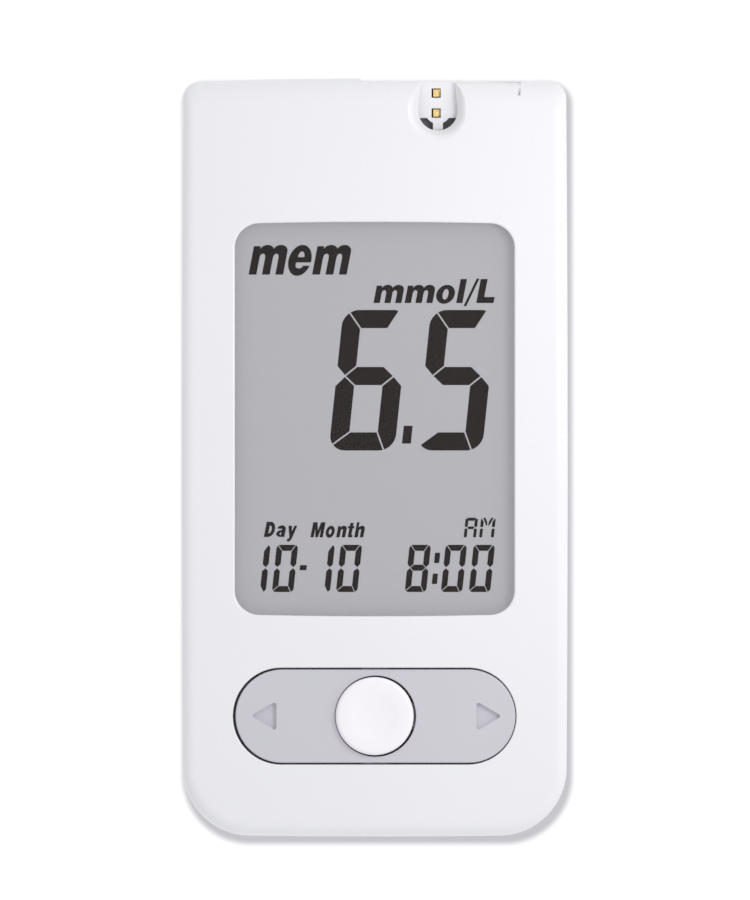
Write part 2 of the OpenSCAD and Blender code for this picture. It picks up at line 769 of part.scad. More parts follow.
// Bracket over the board: it bears the rocker's pins in two ears and guides the button's stem
module key_frame() {
    half_h = pad_h / 2 - frame_inset;
    half_l = post_x + post_r + frame_land;
    ear_top = ceiling_z - 0.1;
    color([0.87, 0.87, 0.85]) translate([0, pad_y, 0]) difference() {
        union() {
            plate(2 * half_l, 2 * half_h, 1, 0, frame_z, frame_top);
            for (sx = [-1, 1], sy = [-1, 1])
                translate([sx * (half_l - leg_w), sy * (half_h - leg_w), (board_top + frame_z) / 2])
                    cube([leg_w, leg_w, frame_z - board_top + EPS], center = true);
            for (s = [-1, 1]) {
                translate([pad_settle - ear_w / 2, s > 0 ? ear_in : -ear_in - ear_t, frame_z])
                    cube([ear_w, ear_t, ear_top - frame_z]);
                translate([pad_settle - ear_w / 2, s > 0 ? half_h - 1 : -ear_in - 0.5, frame_z])
                    cube([ear_w, ear_in + 1.5 - half_h, frame_t]);
            }
        }
        translate([pad_settle, 0, pivot_z]) rotate([90, 0, 0])
            cylinder(r = pivot_r + pivot_gap, h = 4 * pad_h, center = true);
        rod(button_x, 0, stem_r + stem_gap, frame_z - 1, frame_top + 1);
        for (s = [-1, 1]) rod(pad_settle + s * post_x, 0, post_r + post_hole_gap, frame_z - 1, frame_top + 1);
    }
}

// A thin domed disc that snaps flat under a key
module snap_dome(x) {
    t = 0.1;
    crown_r = 0.45 * dome_r;
    color([0.8, 0.8, 0.78]) translate([x, pad_y, board_top + pad_metal_t]) rotate_extrude()
        polygon([[0, dome_h - t], [crown_r, dome_h - t], [dome_r - 3 * t, 0], [dome_r, 0], [dome_r, t],
            [crown_r + t, dome_h], [0, dome_h]]);
}

module left_dome() snap_dome(pad_settle - post_x);
module main_dome() snap_dome(button_x);
module right_dome() snap_dome(pad_settle + post_x);

// ---- Board --------------------------------------------------------------------------------------

module circuit_board() {
    low_r = low_corner_r - wall - board_gap;
    color([0.1, 0.36, 0.2]) difference() {
        translate([0, 0, board_z]) linear_extrude(board_t)
            polygon([for (p = round_rect(board_w / 2 - side_bow, board_low_y + low_bow, board_top_y,
                max(low_r, MIN_R), 1)) [p[0], p[1]]]);
        for (p = screws) rod(p[0], p[1], screw_hole_r, board_z - 1, board_top + 1);
    }
}

// Gold pads on the board: a ring and a dot under each dome, and a row under the elastomer connector
module contact_pads() {
    zebra_y = (glass_low_y + rear_glass_low_y) / 2;
    row = 24;
    row_x = glass_w / 2 - 2.4;
    z1 = board_top + pad_metal_t;
    color([0.85, 0.68, 0.3]) {
        for (x = [pad_settle - post_x, button_x, pad_settle + post_x]) translate([x, pad_y, 0]) {
            rod(0, 0, 1, board_top, z1);
            difference() {
                rod(0, 0, dome_r + 0.3, board_top, z1);
                rod(0, 0, dome_r - 0.6, board_top - 1, z1 + 1);
            }
        }
        for (i = [0:row - 1]) let (x = mix(-row_x, row_x, i / (row - 1)))
            box(x - 0.4, x + 0.4, zebra_y - zebra_t / 2, zebra_y + zebra_t / 2, board_top, z1);
    }
}

// A chip's body, standing a little above the board
module chip_body(x, y, w, l, h) {
    color([0.12, 0.12, 0.13]) box(x - w / 2, x + w / 2, y - l / 2, y + l / 2, board_top + 0.1, board_top + h);
}

// A chip's leads along both long sides, in a foot on the board and a rise to the body
module lead_row(x, y, w, l, count) {
    pitch = l / (count + 1);
    for (turn = [0, 180], i = [1:count]) translate([x, y - l / 2 + i * pitch, board_top]) rotate(turn) {
        box(w / 2, w / 2 + lead_w + lead_t, -lead_w / 2, lead_w / 2, 0, lead_h);
        box(w / 2 + lead_w, w / 2 + lead_w + lead_foot, -lead_w / 2, lead_w / 2, 0, lead_t);
    }
}

cpu = [-5, window_y + 6, 9.6, 9.6, 1.3];
memory = [9, window_y - 8, 3.9, 4.9, 1.4];
measuring = [port_x, window_y + window_l / 2 - 12.5, 3.2, 4.4, 1.3];

lead_w = 0.3;
lead_t = 0.15;
lead_foot = 0.6;
lead_h = 0.6;
buzzer_h = 2.6;
buzzer_gap = 0.85;
buzzer_inset = 4.75;
part_w = 1.6;
part_l = 0.8;
part_h = 0.7;
part_pitch = 4;
part_row_inset = 8;

module microcontroller() chip_body(cpu[0], cpu[1], cpu[2], cpu[3], cpu[4]);
module memory_chip() chip_body(memory[0], memory[1], memory[2], memory[3], memory[4]);
module measuring_chip() chip_body(measuring[0], measuring[1], measuring[2], measuring[3], measuring[4]);

module chip_leads() {
    color([0.75, 0.76, 0.77]) {
        lead_row(cpu[0], cpu[1], cpu[2], cpu[3], 11);
        lead_row(memory[0], memory[1], memory[2], memory[3], 4);
        lead_row(measuring[0], measuring[1], measuring[2], measuring[3], 4);
    }
}

module clock_crystal() {
    r = 1;
    color([0.78, 0.78, 0.8]) translate([-5, window_y - 6, board_top + r]) rotate([0, 90, 0])
        cylinder(r = r, h = 6);
}

module buzzer() {
    x = buzzer_d / 2 + buzzer_inset - glass_w / 2;
    y = glass_top_y + holder_gap + holder_wall + buzzer_gap + buzzer_d / 2;
    color([0.1, 0.1, 0.11]) difference() {
        rod(x, y, buzzer_d / 2, board_top, board_top + buzzer_h);
        rod(x, y, 0.9, board_top + buzzer_h - 0.8, board_top + buzzer_h + 1);
    }
}

// Chip capacitors and resistors in two rows under the display
module small_parts() {
    row_y = window_l / 2 - part_row_inset;
    color([0.72, 0.62, 0.48]) for (i = [-3:3], s = [-1, 1])
        translate([i * part_pitch - part_w / 2, window_y + s * row_y - part_l / 2, board_top])
            cube([part_w, part_l, part_h]);
}

// ---- Strip port ---------------------------------------------------------------------------------

// The two arcs in the floor, cut straight at their upper ends, with a rib between them
module floor_arcs() {
    z0 = port_under_z - 2;
    z1 = port_floor_z + 2;
    translate([port_x, port_y, 0]) difference() {
        rod(0, 0, port_floor_r, z0 + 1, z1 - 1);
        rod(0, 0, arc_inner_r, z0, z1);
        box(-slot_w, slot_w, -arc_cut, slot_w, z0, z1);
        box(-arc_rib_w / 2, arc_rib_w / 2, -slot_w, 0, z0, z1);
    }
}

module contact_windows() {
    w = contact_window / 2;
    for (i = [0, 1]) box(contact_x - w, contact_x + w, contact_y + i * contact_pitch - w,
        contact_y + i * contact_pitch + w, seam_z, port_floor_z + 1);
}

// Slots in the floor that the springs at the strip's end come up through
module spring_slots() {
    w = spring_w / 2 + spring_slot;
    for (i = [-1, 0, 1]) let (x = port_x + i * spring_pitch)
        box(x - w, x + w, connector_y0, connector_y0 + spring_t + 2 * spring_slot, seam_z, port_floor_z + 1);
}

module strip_port() {
    y0 = end_y - slot_l;
    rail_x = slot_w / 2 + rail_t;
    top = ceiling_z - insert_gap;
    base = seam_z + seam_gap;
    color([0.96, 0.96, 0.965]) difference() {
        intersection() {
            translate([0, -insert_back, 0]) front_solid();
            union() {
                box(insert_x0, insert_x1, flange_in_y - EPS, end_y, base, top);
                box(insert_x0 - lip_lap + insert_gap, insert_x1 + lip_lap - insert_gap, lip_plate_y,
                    lip_plate_y + lip_plate_t, base, top);
                box(insert_x0, insert_x1, lip_plate_y, end_y, base, top);
                box(port_x - rail_x, port_x + rail_x, y0, end_y, port_under_z, top);
            }
        }
        box(port_x - slot_w / 2, port_x + slot_w / 2, y0 - 1, end_y + 1, port_floor_z, case_t);
        box(port_x - connector_w / 2 - 0.2, port_x + connector_w / 2 + 0.2, y0 - 1, flange_in_y, seam_z,
            port_under_z);
        for (s = [-1, 1]) let (xa = s > 0 ? port_x + rail_x + 0.8 : insert_x0 + 0.8,
                xb = s > 0 ? insert_x1 - 0.8 : port_x - rail_x - 0.8)
            box(xa, xb, lip_plate_y + lip_plate_t, flange_in_y, base + 0.8, ceiling_z - 0.9);
        floor_arcs();
        contact_windows();
        spring_slots();
    }
}

// Dark housing on the board that holds the gold springs
module strip_connector() {
    w = connector_w / 2;
    well_w = contact_w / 2 + tip_well;
    color([0.13, 0.13, 0.14]) difference() {
        box(port_x - w, port_x + w, connector_y0, connector_y1, board_top, port_under_z - leaf_gap);
        for (i = [0, 1]) translate([contact_x, contact_y + i * contact_pitch, 0])
            box(-well_w, well_w, -well_w, well_w, board_top + well_floor, case_t);
        for (i = [-1, 0, 1]) translate([port_x + i * spring_pitch, connector_y0, 0])
            box(-spring_w / 2 - spring_slot, spring_w / 2 + spring_slot, -1, spring_l + 2 * spring_slot,
                board_top + well_floor, case_t);
    }
}

// Two tips that show in the floor's windows and three springs that meet the end of the strip
module strip_contacts() {
    w = contact_w / 2;
    color([0.88, 0.72, 0.36]) {
        for (i = [0, 1]) translate([contact_x + 0.08, contact_y + i * contact_pitch, 0]) {
            box(-w, w, -w, w, board_top + well_floor + leaf_gap, port_floor_z);
            translate([0, 0, port_floor_z - EPS]) rotate([90, 0, 0])
                linear_extrude(2 * w, center = true) polygon([[-w, 0], [w, 0], [w, contact_rise], [0, 0.35]]);
        }
        for (i = [-1, 0, 1]) translate([port_x + i * spring_pitch, connector_y0 + spring_slot, 0]) {
            box(-spring_w / 2, spring_w / 2, 0, spring_t, board_top + well_floor + leaf_gap,
                port_floor_z + leaf_gap + spring_t);
            translate([-spring_w / 2, 0, port_floor_z + leaf_gap]) cube([spring_w, spring_l, spring_t]);
        }
    }
}

// ---- Battery ------------------------------------------------------------------------------------

cap_r = cell_r - 1.1;
crimp_t = 0.25;
can_wall = 0.3;
cell_step = 2 * can_wall;

module cell_cans() {
    color([0.78, 0.79, 0.8]) cell_places() difference() {
        rod(0, 0, cell_r, cell_z, cell_z + cell_t - crimp_t);
        rod(0, 0, cell_r - can_wall, cell_z + can_wall, cell_z + cell_t);
    }
}

module cell_gaskets() {
    color([0.2, 0.2, 0.22]) cell_places() difference() {
        rod(0, 0, cell_r - can_wall, cell_z + can_wall, cell_z + cell_t - crimp_t);
        rod(0, 0, cap_r, cell_z + cell_step, cell_z + cell_t);
    }
}

module cell_caps() {
    color([0.82, 0.83, 0.84]) cell_places() rod(0, 0, cap_r, cell_z + cell_step, cell_z + cell_t);
}

// A leaf under the tray's roof, its leg up through the slot, and its foot under the board
module negative_contacts() {
    z = roof_z - leaf_t - leaf_gap;
    color([0.83, 0.82, 0.78]) cell_places() {
        box(-leaf_w / 2, leaf_w / 2, -leaf_w, leaf_w + leaf_t, z, z + leaf_t);
        box(-leaf_w / 2, leaf_w / 2, leaf_w, leaf_w + leaf_t, z, board_z);
        box(-leaf_w / 2, leaf_w / 2, leaf_w, leaf_w + leaf_foot, board_z - leaf_t, board_z);
    }
}

// A leaf beside the can, up through the tray, and its foot under the board
module positive_contacts() {
    y = -cell_r - leaf_gap;
    color([0.83, 0.82, 0.78]) cell_places() {
        box(-leaf_w / 2, leaf_w / 2, y - leaf_t, y, cell_z + cell_step, board_z);
        box(-leaf_w / 2, leaf_w / 2, y - leaf_foot, y, board_z - leaf_t, board_z);
    }
}

front_cover();
rear_cover();
battery_door();
display_lens();
lens_tape();
lcd_front_polarizer();
lcd_front_glass();
lcd_rear_glass();
lcd_reflector();
lcd_holder();
zebra_strip();
rocker_key();
main_button();
key_frame();
left_dome();
main_dome();
right_dome();
circuit_board();
contact_pads();
microcontroller();
measuring_chip();
memory_chip();
chip_leads();
clock_crystal();
buzzer();
small_parts();
strip_port();
strip_connector();
strip_contacts();
cell_cans();
cell_caps();
cell_gaskets();
negative_contacts();
positive_contacts();
case_screws();
back_label();
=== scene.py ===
"""Looks of a pocket blood glucose meter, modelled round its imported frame.

The meter lies on its back: X runs across it, Y towards the strip port and Z out of its face.
"""

import math
from collections import namedtuple

import bmesh
import bpy
from bpy.props import FloatProperty, FloatVectorProperty, IntProperty, PointerProperty, StringProperty
from bpy.types import Operator, Panel, PropertyGroup
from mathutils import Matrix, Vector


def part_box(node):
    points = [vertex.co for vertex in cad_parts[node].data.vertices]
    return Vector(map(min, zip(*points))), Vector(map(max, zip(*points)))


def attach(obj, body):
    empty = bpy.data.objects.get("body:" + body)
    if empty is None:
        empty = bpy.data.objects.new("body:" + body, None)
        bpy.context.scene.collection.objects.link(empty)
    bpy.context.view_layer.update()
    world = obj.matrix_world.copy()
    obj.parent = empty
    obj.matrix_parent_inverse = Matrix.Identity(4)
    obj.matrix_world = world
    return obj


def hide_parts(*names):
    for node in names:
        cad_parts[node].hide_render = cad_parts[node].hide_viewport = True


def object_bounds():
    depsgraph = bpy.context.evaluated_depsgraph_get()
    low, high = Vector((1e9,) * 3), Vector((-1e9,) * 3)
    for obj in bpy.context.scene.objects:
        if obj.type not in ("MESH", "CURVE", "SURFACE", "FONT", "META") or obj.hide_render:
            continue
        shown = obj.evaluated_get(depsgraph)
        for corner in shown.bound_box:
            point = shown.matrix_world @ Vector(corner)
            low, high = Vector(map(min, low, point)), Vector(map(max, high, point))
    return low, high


bl_info = {
    "name": "Blood glucose meter",
    "version": (1, 0, 0),
    "blender": (4, 5, 0),
    "location": "3D View > Sidebar > Meter",
    "description": "Models the finished pieces of a pocket blood glucose meter round its frame",
    "category": "Object",
}

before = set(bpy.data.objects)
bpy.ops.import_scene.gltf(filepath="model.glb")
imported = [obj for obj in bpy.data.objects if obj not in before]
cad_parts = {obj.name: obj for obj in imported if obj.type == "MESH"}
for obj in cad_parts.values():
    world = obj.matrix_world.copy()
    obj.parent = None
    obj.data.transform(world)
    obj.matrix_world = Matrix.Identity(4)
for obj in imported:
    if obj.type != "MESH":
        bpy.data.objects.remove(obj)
CAD_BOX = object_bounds()

MM = 0.001
HALF_W = CAD_BOX[1][0]
END_Y = CAD_BOX[1][1]
COVER_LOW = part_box("front_cover")[0].z
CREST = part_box("front_cover")[1].z
REAR_TOP = COVER_LOW - 0.1 * MM
BOARD_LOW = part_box("circuit_board")[0].z
BOARD_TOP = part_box("circuit_board")[1].z
ARC_STEPS = 16
SIDE_STEPS = 12
FILLET_STEPS = 8
CROWN_SHARES = (0.985, 0.95, 0.88, 0.76, 0.6, 0.42, 0.24, 0.08)
SEAM_SHARE = 0.3

# Sizes that two pieces share: both covers' screw posts and lip, and the button's tabs under the rocker key
POST_R = 2.5 * MM
POST_STEPS = 48
LIP_H = 1.2 * MM
TAB_REACH = 1.3 * MM


def tone(red, green, blue):
    """A colour as it shows on a screen, from 0 to 255, as scene light."""
    return tuple(((c / 255 + 0.055) / 1.055) ** 2.4 if c > 10 else c / 3294.6 for c in (red, green, blue))


def length(name, description, millimetres):
    return FloatProperty(name=name, description=description, default=millimetres * MM, unit="LENGTH",
                         precision=5)


def colour(name, description, *screen):
    return FloatVectorProperty(name=name, description=description, default=tone(*screen), subtype="COLOR",
                               size=3, min=0, max=1)


class CaseSizes(PropertyGroup):
    side_bow: length("Side bow", "How far the long sides bow outwards", 0.2)
    top_bow: length("Strip end bow", "How far the strip end bows outwards", 0.45)
    low_bow: length("Key end bow", "How far the key end bows outwards", 0.25)
    crown: length("Crown", "Fall of the face from its crest to a side or an end", 0.35)
    low_corner: length("Key end corners", "Corner radius at the key end", 8.3)
    top_corner: length("Strip end corners", "Corner radius at the strip end", 2.1)
    side_edge: length("Side edge", "Rounding of the face into the sides", 1.4)
    low_edge: length("Key end edge", "Rounding of the face into the key end", 1.7)
    top_edge: length("Strip end edge", "Rounding of the face into the strip end", 3.1)
    back_edge: length("Back edge", "Rounding of the back into the sides", 2.4)
    seam_edge: length("Seam edge", "Small rounding of both shells at the seam", 0.12)
    wall: length("Wall", "Thickness of the side walls", 1.8)
    face: length("Face", "Thickness of the face at its crest", 1.8)
    back: length("Back", "Thickness of the back", 1.6)
    window_rim: length("Window rim", "Rounding of the window's edge", 0.3)
    opening_rim: length("Key opening rim", "Rounding of the key opening's edge", 0.18)
    scoop_rim: length("Scoop rim", "Rounding of the scoop's edge", 1.1)


class DisplaySizes(PropertyGroup):
    window_w: length("Window width", "Width of the window in the face", 35.1)
    window_l: length("Window length", "Length of the window in the face", 49.5)
    window_y: length("Window place", "Middle of the window above the middle of the case", 4.8)
    window_r: length("Window corners", "Corner radius of the window", 3)
    window_bow: length("Window bow", "How far the window's ends bow outwards", 0.25)
    ink_t: length("Ink", "Height of the dark segments over the film", 0.02)
    slant: FloatProperty(name="Slant", description="Slant of the segments, across per up", default=0.104)
    legend_slant: FloatProperty(name="Legend slant", description="Slant of the legends", default=0.19)
    reading: StringProperty(name="Reading", description="Digits of the large reading", default="65")
    date: StringProperty(name="Date", description="Digits of day and month", default="1010")
    clock: StringProperty(name="Clock", description="Digits of the time", default="800")


class KeySizes(PropertyGroup):
    opening_w: length("Opening width", "Width of the key opening", 35.64)
    opening_h: length("Opening height", "Height of the key opening", 12.2)
    plate_edge: length("Key edge", "Rounding of the rocker key's edge", 0.2)
    hole_rim: length("Hole rim", "Rounding of the hole's edge", 0.12)
    arrow_l: length("Arrow length", "Length of an arrow across the key", 2.9)
    arrow_h: length("Arrow height", "Height of an arrow", 3.3)
    arrow_corner: length("Arrow corners", "Corner radius of an arrow", 0.25)
    arrow_depth: length("Arrow depth", "Depth of the arrows", 0.6)
    arrow_inset: length("Arrow inset", "Edge of the key to an arrow's tip", 2.1)
    arrow_shift: length("Arrow shift", "How far both arrows lie off the middle", 0.1)
    button_edge: length("Button edge", "Rounding of the button's rim", 0.55)
    dish_r: length("Dish radius", "Radius of the dish in the button", 3.3)
    dish_depth: length("Dish depth", "Depth of the dish", 0.3)


class PortSizes(PropertyGroup):
    x: length("Port place", "Middle of the port from the middle of the case", 7.95)
    from_end: length("Port from end", "Middle of the floor's round end below the strip end", 4.1)
    floor_r: length("Floor radius", "Radius of the floor's round end", 2.46)
    rim_r: length("Rim radius", "Radius of the scoop at the face", 3.3)
    pinch: length("Pinch", "How far the floor's sides draw in towards the strip end", 0.45)


class BackSizes(PropertyGroup):
    cell_r: length("Cell radius", "Radius of a coin cell", 8)
    cell_x: length("Cell place", "Middle of a cell from the middle of the case", 8.6)
    cell_y: length("Cell height", "Middle of the cells above the middle of the case", -26)
    door_gap: length("Door gap", "Gap round the battery door", 0.15)
    grip_pitch: length("Grip pitch", "Distance between the door's grooves", 1.6)
    grip_l: length("Grip length", "Length of the door's grooves", 16)
    grips: IntProperty(name="Grips", description="Number of the door's grooves", default=5, min=1)


class Finishes(PropertyGroup):
    case: colour("Case", "White gloss plastic of the case", 239, 239, 242)
    key: colour("Rocker key", "Grey satin plastic of the rocker key", 205, 204, 211)
    button: colour("Main button", "White plastic of the main button", 250, 247, 251)
    port: colour("Strip port", "White plastic of the strip port", 241, 241, 244)
    film: colour("Display", "Grey of the display's film", 182, 182, 186)
    ink: colour("Segments", "Dark segments of the display", 34, 28, 27)
    label: colour("Label", "Grey of the blank label", 206, 208, 213)
    board: colour("Board", "Green solder mask of the board", 28, 96, 58)
    gold: colour("Gold", "Gold plate of the contacts", 246, 214, 148)


class StageSettings(PropertyGroup):
    sky: FloatProperty(name="Sky", description="Strength of the even light from all round", default=0.765)
    sky_ends: FloatProperty(name="Sky at the ends", default=0.3,
                            description="Added strength of the sky towards both ends")
    sky_side: FloatProperty(name="Sky at the right", default=0.15,
                            description="Added strength of the sky towards the right")
    key: FloatProperty(name="Key light", description="Power of the light at the upper right", default=0.043,
                       unit="POWER")
    key_x: length("Key light across", "Place of the light across", 75)
    key_y: length("Key light up", "Place of the light towards the strip end", 34)
    key_z: length("Key light height", "Height of the light", 120)
    key_size: length("Key light size", "Diameter of the light", 42)
    view_h: length("View height", "Height of the camera's view", 113.02)
    view_x: length("View across", "Middle of the view across", 0.05)
    view_y: length("View up", "Middle of the view towards the strip end", 0.92)
    paper: colour("Floor", "White of the floor", 246, 246, 246)
    # The shadow is a painted shadow: a grey in the floor's own colour beside the meter.
    shadow: colour("Shadow", "Grey of the soft shadow beside the meter", 194, 194, 198)


# ---- Modelling helpers ----------------------------------------------------------------------------


def deselect():
    """Object mode with nothing selected."""
    active = bpy.context.view_layer.objects.active
    if active and active.mode != "OBJECT":
        bpy.ops.object.mode_set(mode="OBJECT")
    bpy.ops.object.select_all(action="DESELECT")


def choose(obj):
    """Makes one object the only one selected."""
    deselect()
    obj.select_set(True)
    bpy.context.view_layer.objects.active = obj
    return obj


def edit(obj):
    """Opens one object's mesh with everything in it selected."""
    choose(obj)
    bpy.ops.object.mode_set(mode="EDIT")
    bpy.ops.mesh.select_all(action="SELECT")
    return bmesh.from_edit_mesh(obj.data)


def close(obj):
    """Turns the faces of the open mesh outwards and closes it."""
    bpy.ops.mesh.select_all(action="SELECT")
    bpy.ops.mesh.normals_make_consistent(inside=False)
    bmesh.update_edit_mesh(obj.data)
    bpy.ops.object.mode_set(mode="OBJECT")
    return obj


def arc(cx, cy, radius, start, end, steps=ARC_STEPS):
    """Points along an arc, from one angle to another in degrees."""
    turns = [math.radians(start + (end - start) * i / steps) for i in range(steps + 1)]
    return [(cx + radius * math.cos(a), cy + radius * math.sin(a)) for a in turns]


def circle(cx, cy, radius, steps):
    return arc(cx, cy, radius, 0, 360, steps)[:-1]


def rounding(radius, steps=FILLET_STEPS):
    """Insets and drops of a rounded edge, from the wall under it to the face."""
    turns = [math.radians(90 * i / steps) for i in range(steps + 1)]
    return [(radius * (1 - math.cos(a)), radius * (1 - math.sin(a))) for a in turns]


def loft(name, rings, peak=None):
    """A closed skin that starts as a circle and is drawn up from ring to ring, with an end at each side."""
    deselect()
    bpy.ops.mesh.primitive_circle_add(vertices=len(rings[0]), radius=HALF_W, fill_type="NOTHING")
    obj = bpy.context.object
    obj.name = name
    mesh = edit(obj)
    mesh.verts.ensure_lookup_table()
    order = {i: i for i in range(len(rings[0]))}
    for vert, place in zip(mesh.verts, rings[0]):
        vert.co = place
    for ring in rings[1:]:
        bpy.ops.mesh.extrude_region_move()
        mesh = bmesh.from_edit_mesh(obj.data)
        mesh.verts.index_update()
        drawn = {}
        for vert in [v for v in mesh.verts if v.select]:
            low = next(e.other_vert(vert) for e in vert.link_edges if not e.other_vert(vert).select)
            drawn[vert.index] = order[low.index]
            vert.co = ring[drawn[vert.index]]
        order = drawn
    if peak:
        bpy.ops.mesh.merge(type="CENTER")
        top = next(v for v in bmesh.from_edit_mesh(obj.data).verts if v.select)
        top.co = peak
    else:
        bpy.ops.mesh.edge_face_add()
    bpy.ops.mesh.select_all(action="DESELECT")
    for edge in bmesh.from_edit_mesh(obj.data).edges:
        if edge.is_boundary:
            edge.select_set(True)
    bpy.ops.mesh.edge_face_add()
    return close(obj)


def prism(name, outline, low, high):
    """An outline drawn up from one height to another."""
    return loft(name, [[(x, y, z) for x, y in outline] for z in (low, high)])


def turned(name, profile, cx, cy, steps=96, pointed=False):
    """A turned shape about an upright axis, from (radius, height) pairs, which may close in a point."""
    rings = [[(x, y, z) for x, y in circle(cx, cy, r, steps)] for r, z in profile]
    return loft(name, rings, peak=(cx, cy, profile[-1][1]) if pointed else None)


def rod(name, radius, low, high, cx, cy, steps=96):
    """An upright round rod."""
    return turned(name, [(radius, low), (radius, high)], cx, cy, steps)


def block(name, low, high):
    """A box between two corners."""
    deselect()
    middle = [(a + b) / 2 for a, b in zip(low, high)]
    bpy.ops.mesh.primitive_cube_add(size=1, location=middle)
    obj = bpy.context.object
    obj.name = name
    obj.scale = [b - a for a, b in zip(low, high)]
    bpy.ops.object.transform_apply(location=True, rotation=True, scale=True)
    return obj


def shaped(obj, **settings):
    """Adds one modifier with the given settings and applies it."""
    choose(obj)
    kind = settings.pop("kind")
    modifier = obj.modifiers.new(kind, kind)
    for name, value in settings.items():
        setattr(modifier, name, value)
    bpy.ops.object.modifier_apply(modifier=modifier.name)
    return obj


def combine(obj, tool, operation):
    shaped(obj, kind="BOOLEAN", operation=operation, object=tool, solver="EXACT")
    bpy.data.objects.remove(tool)
    return obj


def cut(obj, *tools):
    for tool in tools:
        combine(obj, tool, "DIFFERENCE")
    return obj


def join(obj, *others):
    for other in others:
        combine(obj, other, "UNION")
    return obj


def tidy(obj, gap=0.002 * MM):
    """Merges what lies together and turns the faces outwards."""
    edit(obj)
    bpy.ops.mesh.remove_doubles(threshold=gap)
    return close(obj)


def smooth(obj, degrees=32):
    """Smooth shading with sharp edges kept."""
    choose(obj)
    bpy.ops.object.shade_smooth_by_angle(angle=math.radians(degrees), keep_sharp_edges=False)
    return shaped(obj, kind="WEIGHTED_NORMAL", keep_sharp=True, weight=50)


def copy_of(node, name, edge):
    """A worked copy of a frame node: merged, with flat faces whole again and its edges eased."""
    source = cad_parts[node]
    obj = bpy.data.objects.new(name, source.data.copy())
    bpy.context.scene.collection.objects.link(obj)
    edit(obj)
    bpy.ops.mesh.remove_doubles(threshold=0.001 * MM)
    bpy.ops.mesh.dissolve_limited(angle_limit=math.radians(1))
    close(obj)
    if edge:
        shaped(obj, kind="BEVEL", width=edge, segments=2, limit_method="ANGLE", angle_limit=math.radians(40),
               harden_normals=False, use_clamp_overlap=True)
    return smooth(obj)


def dressed(obj, look, body, slot, *nodes):
    """Gives a piece its finish, the body it rides on and the nodes it stands for."""
    obj.data.materials.clear()
    obj.data.materials.append(finish(look))
    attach(obj, body)
    if nodes:
        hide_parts(*nodes)
    return obj


def eased(node, name, edge, look, slot):
    """Stands a worked copy in for a node of the case, with its edges eased by so many millimetres."""
    return dressed(copy_of(node, name, edge * MM), look, "root", slot, node)


def painted(looks):
    """Gives each frame node named its finish in all its slots."""
    for node, look in looks.items():
        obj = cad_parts[node]
        if not obj.material_slots:
            obj.data.materials.append(finish(look))
        for holder in obj.material_slots:
            holder.material = finish(look)


def node_middle(node):
    """Middle of a frame node's box, seen from the front."""
    low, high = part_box(node)
    return (low.x + high.x) / 2, (low.y + high.y) / 2


# ---- Materials ------------------------------------------------------------------------------------


def blank_material(name):
    material = bpy.data.materials.new(name)
    material.use_nodes = True
    material.node_tree.nodes.clear()
    output = material.node_tree.nodes.new("ShaderNodeOutputMaterial")
    return material, material.node_tree.nodes, material.node_tree.links, output


def math_step(nodes, links, operation, *inputs):
    """One step of arithmetic, on numbers and other nodes' outputs."""
    node = nodes.new("ShaderNodeMath")
    node.operation = operation
    for socket, value in zip(node.inputs, inputs):
        if isinstance(value, (int, float)):
            socket.default_value = value
        else:
            links.new(value, socket)
    return node.outputs[0]


def blended(nodes, links, share, first, second, output):
    """Shows a share of the second shader over the first."""
    mix = nodes.new("ShaderNodeMixShader")
    links.new(share, mix.inputs["Fac"])
    links.new(first, mix.inputs[1])
    links.new(second, mix.inputs[2])
    links.new(mix.outputs["Shader"], output.inputs["Surface"])


def noise(nodes, links, scale, detail=2.0, stretch=(1, 1, 1)):
    """A noise over the piece's own coordinates."""
    place = nodes.new("ShaderNodeTexCoord")
    mapping = nodes.new("ShaderNodeMapping")
    mapping.inputs["Scale"].default_value = stretch
    texture = nodes.new("ShaderNodeTexNoise")
    texture.inputs["Scale"].default_value = scale
    texture.inputs["Detail"].default_value = detail
    links.new(place.outputs["Object"], mapping.inputs["Vector"])
    links.new(mapping.outputs["Vector"], texture.inputs["Vector"])
    return texture.outputs["Fac"]


def ramp(nodes, links, source, low, high, start=0.35, end=0.65):
    """Colours between two tones after a value."""
    node = nodes.new("ShaderNodeValToRGB")
    node.color_ramp.elements[0].position = start
    node.color_ramp.elements[0].color = (*low, 1)
    node.color_ramp.elements[1].position = end
    node.color_ramp.elements[1].color = (*high, 1)
    links.new(source, node.inputs["Fac"])
    return node.outputs["Color"]


def spread(nodes, links, source, low, high, start=0.3, end=0.7):
    """A value between two numbers after another."""
    node = nodes.new("ShaderNodeMapRange")
    node.inputs["From Min"].default_value = start
    node.inputs["From Max"].default_value = end
    node.inputs["To Min"].default_value = low
    node.inputs["To Max"].default_value = high
    links.new(source, node.inputs["Value"])
    return node.outputs["Result"]


def shade(base, share):
    return tuple(min(c * share, 1) for c in base)


